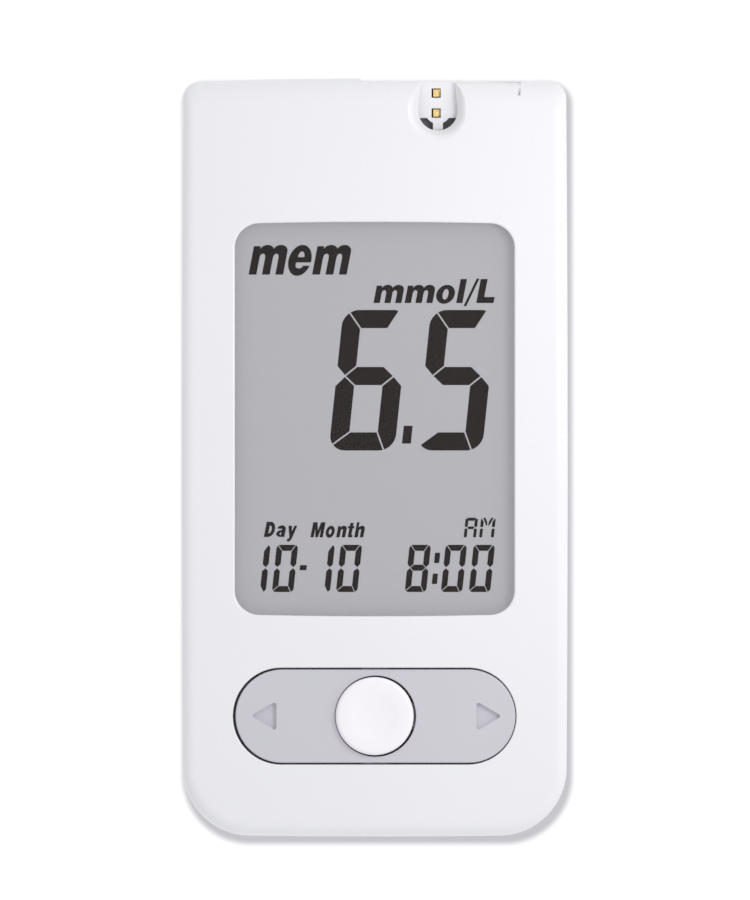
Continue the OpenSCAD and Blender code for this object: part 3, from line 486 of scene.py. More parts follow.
def moulded(name, base, roughness, mottle=0.004, grain=0.01, metal=0.0, grain_scale=2600, coat=0.0,
            stretch=(1, 1, 1), mottle_scale=60, rough_spread=0.1, specular=0.5, glow=0.0):
    """A plastic or metal with a faint mottle, an uneven gloss and a fine grain.

    A glow is the share of its tone that it gives off by itself: painted light, which evens out the shade
    that falls on the surface.
    """
    material, nodes, links, output = blank_material(name)
    shader = nodes.new("ShaderNodeBsdfPrincipled")
    shader.inputs["Metallic"].default_value = metal
    shader.inputs["Coat Weight"].default_value = coat
    shader.inputs["Specular IOR Level"].default_value = specular
    shader.inputs["Emission Color"].default_value = (*base, 1)
    shader.inputs["Emission Strength"].default_value = glow
    lit = shade(base, 1 - glow)
    broad = noise(nodes, links, mottle_scale, 3, stretch)
    links.new(ramp(nodes, links, broad, shade(lit, 1 - mottle), shade(lit, 1 + mottle)),
              shader.inputs["Base Color"])
    fine = noise(nodes, links, grain_scale, 2, stretch)
    links.new(spread(nodes, links, fine, roughness * (1 - rough_spread), roughness * (1 + rough_spread)),
              shader.inputs["Roughness"])
    bump = nodes.new("ShaderNodeBump")
    bump.inputs["Strength"].default_value = grain
    bump.inputs["Distance"].default_value = 0.02 * MM
    links.new(fine, bump.inputs["Height"])
    links.new(bump.outputs["Normal"], shader.inputs["Normal"])
    links.new(shader.outputs["BSDF"], output.inputs["Surface"])
    return material


def clear_material(name, tint, gloss_ior):
    """A clear sheet: what lies behind it, with a gloss where a ray comes in."""
    material, nodes, links, output = blank_material(name)
    through = nodes.new("ShaderNodeBsdfTransparent")
    through.inputs["Color"].default_value = (*tint, 1)
    gloss = nodes.new("ShaderNodeBsdfGlossy")
    gloss.inputs["Color"].default_value = (1, 1, 1, 1)
    gloss.inputs["Roughness"].default_value = 0.03
    fresnel = nodes.new("ShaderNodeFresnel")
    fresnel.inputs["IOR"].default_value = gloss_ior
    side = nodes.new("ShaderNodeNewGeometry")
    outside = math_step(nodes, links, "SUBTRACT", 1, side.outputs["Backfacing"])
    share = math_step(nodes, links, "MULTIPLY", fresnel.outputs["Fac"], outside)
    blended(nodes, links, share, through.outputs["BSDF"], gloss.outputs["BSDF"], output)
    return material


def striped_material(name, low, high, bands_per_metre):
    """Fine stripes across X, as in an elastomer connector."""
    material, nodes, links, output = blank_material(name)
    shader = nodes.new("ShaderNodeBsdfPrincipled")
    shader.inputs["Roughness"].default_value = 0.7
    place = nodes.new("ShaderNodeTexCoord")
    wave = nodes.new("ShaderNodeTexWave")
    wave.inputs["Scale"].default_value = bands_per_metre
    links.new(place.outputs["Object"], wave.inputs["Vector"])
    links.new(ramp(nodes, links, wave.outputs["Fac"], low, high, 0.45, 0.55), shader.inputs["Base Color"])
    links.new(shader.outputs["BSDF"], output.inputs["Surface"])
    return material


def finish(name):
    """The material of one finish, made the first time that it is asked for."""
    if name in bpy.data.materials:
        return bpy.data.materials[name]
    tones = bpy.context.scene.meter_finishes
    looks = {
        "case gloss": (moulded, tones.case, dict(roughness=0.3)),
        "rocker satin": (moulded, tones.key, dict(roughness=0.42, mottle=0.012, grain=0.06)),
        "button gloss": (moulded, tones.button, dict(roughness=0.34, mottle=0.006)),
        "port gloss": (moulded, tones.port, dict(roughness=0.34)),
        # The display film glows: painted light that evens out the shade in the window's recess.
        "display film": (moulded, tones.film, dict(roughness=0.5, grain=0.03, mottle_scale=400, specular=0.2,
                                                   glow=0.45)),
        "segment ink": (moulded, tones.ink, dict(roughness=0.6, mottle=0.05, grain=0.03, specular=0.1)),
        "clear lens": (clear_material, (0.99, 0.99, 0.992), dict(gloss_ior=1.25)),
        "display glass": (clear_material, (0.93, 0.96, 0.95), dict(gloss_ior=1.52)),
        "tape black": (moulded, tone(30, 30, 32), dict(roughness=0.85, mottle=0.15, grain=0.3,
                                                       grain_scale=5000)),
        "reflector": (moulded, tone(176, 177, 180), dict(roughness=0.35, mottle=0.03, grain=0.1, metal=0.6)),
        "frame plastic": (moulded, tone(226, 224, 217), dict(roughness=0.5, mottle=0.015, grain=0.08)),
        "zebra": (striped_material, tone(28, 26, 28), dict(high=tone(196, 150, 150), bands_per_metre=1600)),
        "spring steel": (moulded, tone(196, 197, 199), dict(roughness=0.28, mottle=0.03, grain=0.15, metal=1,
                                                            stretch=(1, 12, 1))),
        "screw steel": (moulded, tone(178, 180, 184), dict(roughness=0.35, mottle=0.05, grain=0.2, metal=1)),
        "solder mask": (moulded, tones.board, dict(roughness=0.35, mottle=0.12, grain=0.1, coat=0.5,
                                                   mottle_scale=700)),
        "gold plate": (moulded, tones.gold, dict(roughness=0.26, mottle=0.06, grain=0.12, metal=1)),
        "chip epoxy": (moulded, tone(38, 38, 40), dict(roughness=0.6, mottle=0.1, grain=0.3)),
        "tinned lead": (moulded, tone(190, 191, 194), dict(roughness=0.38, mottle=0.06, grain=0.2, metal=1)),
        "ceramic": (moulded, tone(186, 158, 120), dict(roughness=0.55, mottle=0.1, grain=0.1)),
        "cell steel": (moulded, tone(200, 201, 203), dict(roughness=0.22, mottle=0.03, grain=0.1, metal=1)),
        "cell cap": (moulded, tone(208, 209, 211), dict(roughness=0.3, mottle=0.04, grain=0.25, metal=1,
                                                        stretch=(1, 8, 1))),
        "gasket": (moulded, tone(34, 34, 37), dict(roughness=0.55, mottle=0.08, grain=0.1)),
        "connector plastic": (moulded, tone(98, 97, 103), dict(roughness=0.5, mottle=0.05, grain=0.1)),
        "label vinyl": (moulded, tones.label, dict(roughness=0.48, mottle=0.01, grain=0.12,
                                                   grain_scale=4200)),
    }
    maker, base, settings = looks[name]
    return maker(name, base, **settings)


# ---- Outlines of the case -------------------------------------------------------------------------


def corner(cx, cy, radius, start):
    """A round corner's points, each with how far it faces an end: 0 at a side and 1 at an end."""
    turns = [math.radians(start + 90 * i / ARC_STEPS) for i in range(ARC_STEPS + 1)]
    points = arc(cx, cy, radius, start, start + 90)
    return [(x, y, math.sin(turn) ** 2) for (x, y), turn in zip(points, turns)]


def between(a, b, facing):
    """Points from one to another, without either."""
    shares = [i / SIDE_STEPS for i in range(1, SIDE_STEPS)]
    return [(a[0] + (b[0] - a[0]) * t, a[1] + (b[1] - a[1]) * t, facing) for t in shares]


def round_rect(w, low, high, r_low, r_high):
    """A rectangle from -w to w and low to high with round corners, anticlockwise."""
    return [
        *corner(w - r_low, low + r_low, r_low, -90),
        *between((w, low + r_low), (w, high - r_high), 0),
        *corner(w - r_high, high - r_high, r_high, 0),
        *between((w - r_high, high), (r_high - w, high), 1),
        *corner(r_high - w, high - r_high, r_high, 90),
        *between((-w, high - r_high), (-w, low + r_low), 0),
        *corner(r_low - w, low + r_low, r_low, 180),
        *between((r_low - w, low), (w - r_low, low), 1),
    ]


def case_outline(side, low, top):
    """The case's outline before its bow, drawn in by the given amounts."""
    sizes = bpy.context.scene.meter_case
    least = 0.3 * MM
    return round_rect(HALF_W - side, low - END_Y, END_Y - top,
                      max(sizes.low_corner - side, least), max(sizes.top_corner - side, least))


def bowed(x, y):
    """A point of the outline moves in as it leaves the middle of its side or end."""
    sizes = bpy.context.scene.meter_case
    u = x / HALF_W
    v = y / END_Y
    end_bow = sizes.top_bow if v > 0 else sizes.low_bow
    return x - sizes.side_bow * u * v * v, y - end_bow * v * u * u


def face_z(x, y):
    """Height of the crowned face."""
    return CREST - bpy.context.scene.meter_case.crown * ((x / HALF_W) ** 2 + (y / END_Y) ** 2)


def inset_outline(d):
    """The case's bowed outline, drawn in by d all round."""
    return [bowed(x, y) for x, y, _ in case_outline(d, d, d)]


def flat_ring(inset, z):
    return [(x, y, z) for x, y in inset_outline(inset)]


def seam_rings(edge, z, up):
    """The small rounding between the seam and the side wall: up is 1 over the seam and -1 under it."""
    near = edge * SEAM_SHARE
    return [flat_ring(edge, z), flat_ring(near, z + up * near), flat_ring(0, z + up * edge)]


def face_ring(in_share, down_share):
    """One ring of the face's rounded edge, with the shares of the edge that it lies in and down."""
    sizes = bpy.context.scene.meter_case
    ring = []
    for x, y, facing in case_outline(sizes.side_edge * in_share, sizes.low_edge * in_share,
                                     sizes.top_edge * in_share):
        end_edge = sizes.top_edge if y > 0 else sizes.low_edge
        drop = (sizes.side_edge + (end_edge - sizes.side_edge) * facing) * down_share
        place = bowed(x, y)
        ring.append((*place, face_z(*place) - drop))
    return ring


def crown_ring(share):
    """A ring of the crowned face, drawn in towards its middle."""
    return [(x * share, y * share, face_z(x * share, y * share)) for x, y, _ in face_ring(1, 0)]


def front_solid(name):
    """The front shell before it is hollowed: seam edge, side wall, rounded edge and crowned face."""
    rings = seam_rings(bpy.context.scene.meter_case.seam_edge, COVER_LOW, 1)
    rings += [face_ring(*shares) for shares in rounding(1)]
    rings += [crown_ring(share) for share in CROWN_SHARES]
    return loft(name, rings, peak=(0, 0, CREST))


def back_solid(name):
    """The rear shell before it is hollowed, from its flat back to the seam."""
    sizes = bpy.context.scene.meter_case
    rings = [flat_ring(inset, rise) for inset, rise in reversed(rounding(sizes.back_edge))]
    rings += reversed(seam_rings(sizes.seam_edge, REAR_TOP, -1))
    return loft(name, rings)


def window_outline(grow):
    """The window's outline, grown all round: its ends bow outwards."""
    sizes = bpy.context.scene.meter_display
    w = sizes.window_w / 2 + grow
    h = sizes.window_l / 2 + grow
    r = sizes.window_r + grow
    points = round_rect(w, -h, h, r, r)
    return [(x, sizes.window_y + y - sizes.window_bow * (y / h) * (x / w) ** 2) for x, y, _ in points]


def stadium(cx, cy, w, h):
    """A bar with round ends, anticlockwise."""
    r = h / 2
    reach = w / 2 - r
    steps = 2 * ARC_STEPS
    ends = [arc(cx + reach, cy, r, -90, 90, steps), arc(cx - reach, cy, r, 90, 270, steps)]
    top = [(cx + reach - 2 * reach * i / SIDE_STEPS, cy + r) for i in range(1, SIDE_STEPS)]
    low = [(cx - reach + 2 * reach * i / SIDE_STEPS, cy - r) for i in range(1, SIDE_STEPS)]
    return [*ends[0], *top, *ends[1], *low]


def flared(name, outline, low, rim, surface, lean=0.0, depth=0.0):
    """A cutter whose wall opens through a rounded rim onto a surface.

    outline gives the points for a growth, and surface the height over a point. A leaning wall starts
    at the depth below the surface and moves out by lean on its way up.
    """
    turn = math.atan2(lean, depth) if depth else 0.0
    rings = [[(x, y, low) for x, y in outline(0)]]
    start = lean
    if depth:
        rings.append([(x, y, surface(x, y) - depth) for x, y in outline(0)])
        start = lean * (depth - rim * (1 - math.sin(turn))) / depth
    centre = start + rim * math.cos(turn)
    last = math.radians(72)
    for i in range(FILLET_STEPS + 1):
        a = turn + (last - turn) * i / FILLET_STEPS
        points = outline(centre - rim * math.cos(a))
        rings.append([(x, y, surface(x, y) - rim * (1 - math.sin(a))) for x, y in points])
    run = 0.12 * MM
    rise = run / math.tan(last)
    clear = MM
    out = outline(centre - rim * math.cos(last) + run)
    rings.append([(x, y, surface(x, y) - rim * (1 - math.sin(last)) + rise) for x, y in out])
    rings.append([(x, y, CREST + clear) for x, y in out])
    return loft(name, rings)


# ---- Operators ------------------------------------------------------------------------------------


def screw_places():
    """Middles of the four screws, from their node's box: the lower pair stands in the round corners."""
    low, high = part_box("case_screws")
    head_r = 1.8 * MM
    low_shift = 0.03 * MM
    upper = (high.x - head_r, high.y - head_r)
    lower = (high.x - head_r - low_shift, low.y + head_r)
    return [(side * x, y) for side in (-1, 1) for x, y in (upper, lower)]


class METER_OT_front_cover(Operator):
    """Front cover: bowed shell with its window, key opening, scoop and screw posts"""

    bl_idname = "meter.front_cover"
    bl_label = "Front cover"

    def execute(self, context):
        case = context.scene.meter_case
        port = context.scene.meter_port
        ceiling = CREST - case.face
        overlap = 0.2 * MM
        recess_w = 0.85 * MM
        lens_margin = 1.7 * MM
        draft = 0.1 * MM
        cover = front_solid("front_cover_shell")
        cut(cover, prism("cavity", inset_outline(case.wall), COVER_LOW - MM, ceiling))
        for place in screw_places():
            join(cover, rod("post", POST_R, BOARD_TOP, ceiling + overlap, *place, POST_STEPS))
        cut(cover, prism("lip_recess", inset_outline(case.wall - recess_w), COVER_LOW - MM,
                         COVER_LOW + LIP_H))
        cut(cover, flared("window", window_outline, ceiling - MM, case.window_rim, face_z))
        cut(cover, prism("lens_seat", window_outline(lens_margin), ceiling - MM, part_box("lens_tape")[1].z))
        cut(cover, flared("key_opening", lambda grow: self.opening(grow - draft), ceiling - MM,
                          case.opening_rim, face_z, draft, case.face))
        cut(cover, self.scoop(port, case, ceiling))
        for low, high in self.notches(port, ceiling):
            cut(cover, block("notch", low, high))
        pilot_r = 0.85 * MM
        pilot_top = 11.9 * MM
        for place in screw_places():
            cut(cover, rod("pilot", pilot_r, BOARD_TOP - MM, pilot_top, *place, steps=32))
        smooth(tidy(cover))
        dressed(cover, "case gloss", "root", "case_white", "front_cover")
        return {"FINISHED"}

    @staticmethod
    def opening(grow):
        keys = bpy.context.scene.meter_keys
        y = node_middle("main_button")[1]
        return stadium(0, y, keys.opening_w + 2 * grow, keys.opening_h + 2 * grow)

    @staticmethod
    def scoop(port, case, ceiling):
        """The scoop over the port's floor: round at its lower end and open towards the strip end."""
        x = port.x
        y = END_Y - port.from_end
        lean = port.rim_r - port.floor_r
        legs = 6 * MM
        fall = 0.3 * MM

        def outline(grow):
            r = port.floor_r + grow
            pinch = port.pinch * min(max(1 - grow / lean, 0), 1)
            near = r - pinch / 2
            far = r - pinch
            return [*arc(x, y, r, 180, 360, 2 * ARC_STEPS), (x + near, y + legs / 2), (x + far, y + legs),
                    (x - far, y + legs), (x - near, y + legs / 2)]

        return flared("scoop", outline, ceiling - MM, case.scoop_rim, lambda px, py: CREST - fall, lean,
                      case.face - fall)

    @staticmethod
    def notches(port, ceiling):
        """Room for the strip port's insert and its flange, and the relief slit beside it."""
        insert_w = 20.1 * MM
        insert_shift = 0.3 * MM
        gap = 0.02 * MM
        lap = 1.1 * MM
        x0 = port.x + insert_shift - insert_w / 2 - gap
        x1 = x0 + insert_w + 2 * gap
        flange_y = END_Y - 2.7 * MM
        inner_y = END_Y - 1.8 * MM
        roof_y = END_Y - 0.5 * MM
        slit_w = 0.32 * MM
        slit_depth = 1.5 * MM
        slit = (END_Y - 2.15 * MM, END_Y - 1.15 * MM)
        return [
            ((x0, flange_y, COVER_LOW - MM), (x1, END_Y + MM, ceiling)),
            ((x0, roof_y, COVER_LOW), (x1, END_Y + MM, CREST)),
            ((x0 - lap, flange_y - MM, COVER_LOW - MM), (x1 + lap, inner_y, ceiling)),
            ((x1 - slit_w, slit[0], CREST - slit_depth), (x1, slit[1], CREST)),
        ]


class METER_OT_rear_cover(Operator):
    """Rear cover: shell with the cell pockets, the door's track, the screw wells and the label's recess"""

    bl_idname = "meter.rear_cover"
    bl_label = "Rear cover"

    def execute(self, context):
        case = context.scene.meter_case
        back = context.scene.meter_back
        gap = back.door_gap
        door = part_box("battery_door")[1]
        cells = [side * back.cell_x for side in (-1, 1)]
        cover = back_solid("rear_cover_shell")
        cut(cover, prism("cavity", inset_outline(case.wall), case.back, REAR_TOP + MM))
        join(cover, self.lip(case), self.ledge(case, door.y))
        tray_wall = 1.3 * MM
        tray_top = 6.2 * MM
        for x in cells:
            join(cover, rod("tray", back.cell_r + tray_wall, case.back, tray_top, x, back.cell_y))
        overlap = 0.01 * MM
        for place in screw_places():
            join(cover, rod("post", POST_R, case.back - overlap, BOARD_LOW, *place, POST_STEPS))
        cut(cover, door_prism("door_track", gap, door.y + gap, -MM, door.z + gap))
        for x in cells:
            self.cut_pocket(cover, x, back)
        for x, y in screw_places():
            self.cut_well(cover, x, y)
        self.cut_port_room(cover)
        cut(cover, prism("label_recess", self.label_outline(), -MM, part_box("back_label")[1].z))
        smooth(tidy(cover))
        dressed(cover, "case gloss", "root", "case_white", "rear_cover")
        return {"FINISHED"}

    @staticmethod
    def lip(case):
        """The lip that stands up into the front cover all round."""
        lip_w = 0.75 * MM
        root = 0.4 * MM
        gap = 0.0005 * MM
        lip = prism("lip", inset_outline(case.wall - lip_w), REAR_TOP - root, REAR_TOP + LIP_H)
        return cut(lip, prism("lip_bore", inset_outline(case.wall + gap), REAR_TOP - MM,
                              REAR_TOP + LIP_H + MM))

    @staticmethod
    def ledge(case, door_end):
        """The thicker back round the battery door."""
        top = 2.75 * MM
        land = 1.5 * MM
        overlap = 0.01 * MM
        ledge = prism("ledge", inset_outline(case.wall - 2 * overlap), case.back - overlap, top)
        return cut(ledge, block("ledge_end", (-HALF_W, door_end + land, 0), (HALF_W, END_Y + MM, top + MM)))

    @staticmethod
    def label_outline():
        """The recess round the label."""
        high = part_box("back_label")[1]
        x, y = node_middle("back_label")
        corner_r = 1.5 * MM
        gap = 0.15 * MM
        w = high.x - x + gap
        h = high.y - y + gap
        return [(x + px, y + py) for px, py, _ in round_rect(w, -h, h, corner_r, corner_r)]

    @staticmethod
    def cut_pocket(cover, x, back):
        """One cell's pocket, with the slots that its contacts come through."""
        y = back.cell_y
        pocket_r = back.cell_r + 0.3 * MM
        pocket = (0.5 * MM, 5.2 * MM)
        cut(cover, rod("pocket", pocket_r, *pocket, x, y))
        slot_w = 2.3 * MM
        slot_top = 6.3 * MM
        negative = (-8.55 * MM, -7.95 * MM, 2 * MM)
        positive = (3.7 * MM, 4.5 * MM, 5.19 * MM)
        for near, far, low in (negative, positive):
            cut(cover, block("contact_slot", (x - slot_w, y + near, low), (x + slot_w, y + far, slot_top)))

    @staticmethod
    def cut_well(cover, x, y):
        """One screw's well with its rim, and the hole of its shaft."""
        well_r = 2 * MM
        shaft_r = 1.15 * MM
        rim = 0.25 * MM
        upper_seat = 1.9 * MM
        lower_seat = 2.8 * MM
        seat = upper_seat if y > 0 else lower_seat
        well = [(well_r + rim, -MM), (well_r + rim, 0), (well_r, rim), (well_r, seat)]
        cut(cover, turned("well", well, x, y, POST_STEPS))
        cut(cover, rod("shaft_hole", shaft_r, seat - rim, BOARD_TOP, x, y, steps=32))

    @staticmethod
    def cut_port_room(cover):
        """Room for the strip port's insert in the seam and in the end wall."""
        low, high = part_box("strip_port")
        side_gap = 0.2 * MM
        reach = 3.4 * MM
        step_y = END_Y - 0.45 * MM
        cut(cover, block("port_room", (low.x - side_gap, high.y - reach, REAR_TOP),
                         (high.x + side_gap, END_Y, REAR_TOP + 2 * MM)))
        cut(cover, block("end_step", (low.x + MM, step_y, -MM), (high.x - MM, END_Y + MM, REAR_TOP + MM)))


def door_prism(name, grow, end, low, high):
    """The battery door's block with slanted sides, open towards the key end."""
    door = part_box("battery_door")[1]
    slant = 0.8 * MM
    half = door.x - slant + grow
    near = half + low * slant / door.z
    far = half + high * slant / door.z
    section = ((-near, low), (near, low), (far, high), (-far, high))
    return loft(name, [[(x, y, z) for x, z in section] for y in (-END_Y - MM, end)])


class METER_OT_battery_door(Operator):
    """Battery door: a slab of the back with slanted sides and grip grooves"""

    bl_idname = "meter.battery_door"
    bl_label = "Battery door"

    def execute(self, context):
        back = context.scene.meter_back
        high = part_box("battery_door")[1]
        door = back_solid("battery_door_slab")
        combine(door, door_prism("door_block", 0, high.y, 0, high.z), "INTERSECT")
        first = back.cell_y + back.cell_r / 2
        groove_r = 0.65 * MM
        depth = 0.3 * MM
        for i in range(back.grips):
            cut(door, self.groove(first - i * back.grip_pitch, groove_r, depth, back.grip_l))
        edge = 0.12 * MM
        shaped(tidy(door), kind="BEVEL", width=edge, segments=3, limit_method="ANGLE",
               angle_limit=math.radians(38), use_clamp_overlap=True)
        smooth(door)
        dressed(door, "case gloss", "battery_door", "case_white", "battery_door")
        return {"FINISHED"}

    @staticmethod
    def groove(y, radius, depth, span):
        """A round cutter along X for one grip groove."""
        section = circle(y, depth - radius, radius, steps=32)
        return loft("groove", [[(x, a, b) for a, b in section] for x in (-span / 2, span / 2)])


class METER_OT_rocker_key(Operator):
    """Rocker key: plate with round ends, two sunk arrows, the button's hole, posts, lugs and pivot pins"""

    bl_idname = "meter.rocker_key"
    bl_label = "Rocker key"

    def execute(self, context):
        keys = context.scene.meter_keys
        low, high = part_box("rocker_key")
        button_low, button_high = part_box("main_button")
        x, y = node_middle("rocker_key")
        top = high.z
        base = top - 1.4 * MM
        w = high.x - low.x
        h = keys.opening_h - 0.46 * MM
        hole_gap = 0.19 * MM
        hole_r = (button_high.x - button_low.x) / 2 - TAB_REACH + hole_gap
        rings = [[(px, py, base) for px, py in stadium(x, y, w, h)]]
        for inset, drop in rounding(keys.plate_edge):
            rings.append([(px, py, top - drop) for px, py in stadium(x, y, w - 2 * inset, h - 2 * inset)])
        plate = loft("rocker_key_plate", rings)
        for side in (-1, 1):
            self.add_foot(plate, x, y, side, base, low.z, hole_r)
        cut(plate, flared("hole", lambda grow: circle(x, y, hole_r + grow, steps=96), low.z - MM,
                          keys.hole_rim, lambda px, py: top))
        for side in (-1, 1):
            tip = x + keys.arrow_shift + side * (w / 2 - keys.arrow_inset)
            cut(plate, self.arrow(tip, y, side, top, keys))
        smooth(tidy(plate))
        dressed(plate, "rocker satin", "rocker_key", "key_grey", "rocker_key")
        return {"FINISHED"}

    @staticmethod
    def add_foot(plate, x, y, side, base, foot_z, hole_r):
        """One pressing post, and one lug with its pivot pin."""
        post_reach = 12.99 * MM
        post_r = 1.2 * MM
        chamfer = 0.1 * MM
        overlap = 0.1 * MM
        post = [(post_r - chamfer, foot_z), (post_r, foot_z + chamfer), (post_r, base + 2 * overlap)]
        join(plate, turned("post", post, x + side * post_reach, y, POST_STEPS))
        lug_w = 3.2 * MM
        lug_t = 1.05 * MM
        hole_wall = 0.12 * MM
        pin_r = 0.7 * MM
        pin_l = 1 * MM
        pivot_z = base - 0.9 * MM
        lug_z = pivot_z - 0.8 * MM
        lug_in = y + side * (hole_r + hole_wall)
        lug_out = lug_in + side * lug_t
        join(plate, block("lug", (x - lug_w / 2, min(lug_in, lug_out), lug_z),
                          (x + lug_w / 2, max(lug_in, lug_out), base + overlap)))
        section = circle(x, pivot_z, pin_r, steps=40)
        ends = (lug_out - side * overlap, lug_out + side * pin_l)
        join(plate, loft("pin", [[(a, end, b) for a, b in section] for end in ends]))

    @staticmethod
    def arrow(tip, y, side, top, keys):
        """A sunk arrow with round corners and slightly open walls, pointing outwards."""
        r = keys.arrow_corner
        turn = 0 if side > 0 else 180
        half_point = 60
        floor_edge = 0.08 * MM
        step = 0.05 * MM
        rim = 0.1 * MM
        floor = top - keys.arrow_depth

        def outline(grow):
            back_x = tip - side * (keys.arrow_l - r)
            back_h = side * (keys.arrow_h / 2 - r)
            corners = [(tip - side * r, y), (back_x, y + back_h), (back_x, y - back_h)]
            starts = (turn - half_point, turn + half_point, turn + 180)
            points = []
            for (cx, cy), start in zip(corners, starts):
                points += arc(cx, cy, r + grow, start, start + 2 * half_point, 8)
            return points

        levels = [(-floor_edge, floor), (0, floor + step)]
        levels += [(inset, top - drop) for inset, drop in rounding(rim, steps=3)[:-1]]
        levels.append((rim, top + step))
        return loft("arrow", [[(px, py, z) for px, py in outline(grow)] for grow, z in levels])


class METER_OT_main_button(Operator):
    """Main button: a turned cap with a round rim, a shallow dish, a skirt, a stem and two stop tabs"""

    bl_idname = "meter.main_button"
    bl_label = "Main button"

    def execute(self, context):
        keys = context.scene.meter_keys
        low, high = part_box("main_button")
        x, y = node_middle("main_button")
        r = 4.9 * MM
        stem_r = 1.9 * MM
        wall = 1 * MM
        skirt = 11.5 * MM
        top = high.z
        roof = top - 1.4 * MM
        profile = [(stem_r, low.z), (stem_r, roof), (r - wall, roof), (r - wall, skirt), (r, skirt)]
        profile += [(r - inset, top - drop) for inset, drop in rounding(keys.button_edge, steps=12)]
        profile += self.dish(keys.dish_r, keys.dish_depth, top)
        button = turned("main_button_cap", profile, x, y, steps=128, pointed=True)
        join(button, self.tabs(r, skirt, x, y))
        smooth(tidy(button))
        dressed(button, "button gloss", "main_button", "button_white", "main_button")
        return {"FINISHED"}

    @staticmethod
    def tabs(r, skirt, x, y):
        """The two stop tabs at the sides of the skirt."""
        root = 0.4 * MM
        half_w = 1.7 * MM
        beyond = 9 * MM
        low = 11.6 * MM
        high = 12.2 * MM
        under = skirt - 0.5 * MM
        over = skirt + 1.5 * MM
        tabs = rod("tabs", r + TAB_REACH, low, high, x, y)
        cut(tabs, rod("tab_bore", r - root, under, over, x, y))
        for side in (-1, 1):
            near, far = sorted((y + side * half_w, y + side * beyond))
            cut(tabs, block("tab_side", (x - beyond, near, under), (x + beyond, far, over)))
        return tabs

    @staticmethod
    def dish(radius, depth, top):
        """Profile of the dish from its eased rim to its middle: a bowl that runs out in a softer curve."""
        steps = 14
        reach = 1.08
        bowl = 0.8
        points = []
        for i in range(steps):
            t = reach * (1 - i / steps)
            fall = 1 - t ** 2 if t < bowl else (1 - bowl ** 2) * ((reach - t) / (reach - bowl)) ** 2
            points.append((radius * t, top - depth * fall))
        return points


class METER_OT_strip_port(Operator):
    """Strip port: the white insert, the dark housing under it and the gold springs"""

    bl_idname = "meter.strip_port"
    bl_label = "Strip port"

    def execute(self, context):
        eased("strip_port", "strip_port_insert", 0.05, "port gloss", "port_white")
        eased("strip_connector", "strip_connector_housing", 0.05, "connector plastic", "chip_black")
        eased("strip_contacts", "strip_contact_springs", 0.03, "gold plate", "gold_plate")
        return {"FINISHED"}


class METER_OT_display(Operator):
    """Display: clear lens, its tape, and the LCD's films, glasses, holder and elastomer connector"""

    bl_idname = "meter.display"
    bl_label = "Display"

    def execute(self, context):
        eased("display_lens", "display_lens_window", 0.08, "clear lens", "clear_lens")
        eased("lens_tape", "lens_tape_frame", 0, "tape black", "black_tape")
        painted({
            "lcd_front_polarizer": "display film", "lcd_front_glass": "display glass",
            "lcd_rear_glass": "display glass", "lcd_reflector": "reflector", "lcd_holder": "frame plastic",
            "zebra_strip": "zebra",
        })
        return {"FINISHED"}


SEGMENTS_OF = {"0": "abcdef", "1": "bc", "2": "abged", "3": "abgcd", "4": "fgbc", "5": "afgcd",
               "6": "afgecd", "7": "abc", "8": "abcdefg", "9": "abcdfg"}
Digit = namedtuple("Digit", "w h middle upright bar corner_r")
Type = namedtuple("Type", "x_height ascender stem pitch arch over")


def segment_outlines(w, h, middle, upright, bar, r):
    """Outlines of a digit's seven segments, unslanted, from its lower left corner."""
    top_left, top_right, low_left, low_right = 125, 67, 218, 288
    steps = 6
    inner_x = (upright, w - upright)
    above = middle + bar / 2
    below = middle - bar / 2
    left_tip = (0.45 * upright, middle)
    right_tip = (w - 0.45 * upright, middle)

    def bend(x, y, start, end):
        return arc(x, y, r, start, end, steps)

    tl = (r, h - r)
    tr = (w - r, h - r)
    bl = (r, r)
    br = (w - r, r)
    return {
        "a": [(inner_x[0], h - bar), *bend(*tl, top_left, 90), *bend(*tr, 90, top_right),
              (inner_x[1], h - bar)],
        "b": [(inner_x[1], h - bar), *bend(*tr, top_right, 0), (w, above), right_tip, (inner_x[1], above)],
        "c": [(inner_x[1], below), right_tip, (w, below), *bend(*br, 360, low_right), (inner_x[1], bar)],
        "d": [(inner_x[1], bar), *bend(*br, low_right, 270), *bend(*bl, 270, low_left), (inner_x[0], bar)],
        "e": [(inner_x[0], bar), *bend(*bl, low_left, 180), (0, below), left_tip, (inner_x[0], below)],
        "f": [(inner_x[0], above), left_tip, (0, above), *bend(*tl, 180, top_left), (inner_x[0], h - bar)],
        "g": [left_tip, (inner_x[0], above), (inner_x[1], above), right_tip, (inner_x[1], below),
              (inner_x[0], below)],
    }


# Letters of the display's legends, in millimetres from the left end of their baseline, before their slant


def oval(cx, cy, rx, ry, start, end, steps=12):
    """Points along an upright oval's arc."""
    return [(cx + rx * x, cy + ry * y) for x, y in arc(0, 0, 1, start, end, steps)]


def mirrored(outline, w):
    return [(w - x, y) for x, y in reversed(outline)]


def arched(t, arches, first_top):
    """Stems under round arches, as one outline."""
    hollow = t.pitch - t.stem
    top = t.x_height + t.over
    spring = 0.7 * hollow
    points = [(0, 0), (t.stem, 0)]
    for i in range(arches):
        left = t.stem + i * t.pitch
        points += oval(left + hollow / 2, top - t.arch - spring, hollow / 2, spring, 180, 0, 8)
        points += [(left + hollow, 0), (left + t.pitch, 0)]
    joint = math.degrees(math.acos(min((t.pitch - 0.9 * t.stem) / (0.95 * t.stem), 0.98)))
    for i in reversed(range(arches)):
        crown_x = (i + 1) * t.pitch + 0.05 * t.stem
        start = 0 if i == arches - 1 else joint
        points += oval(crown_x, top - 0.85 * t.stem, 0.95 * t.stem, 0.85 * t.stem, start, 90, 8)
        points += oval(crown_x, top - 0.9 * t.stem, t.stem, 0.9 * t.stem, 90, 154, 8)[1:]
    notch = min(t.pitch - 0.85 * t.stem, t.stem)
    return [[*points, (notch, first_top), (0, first_top)]]


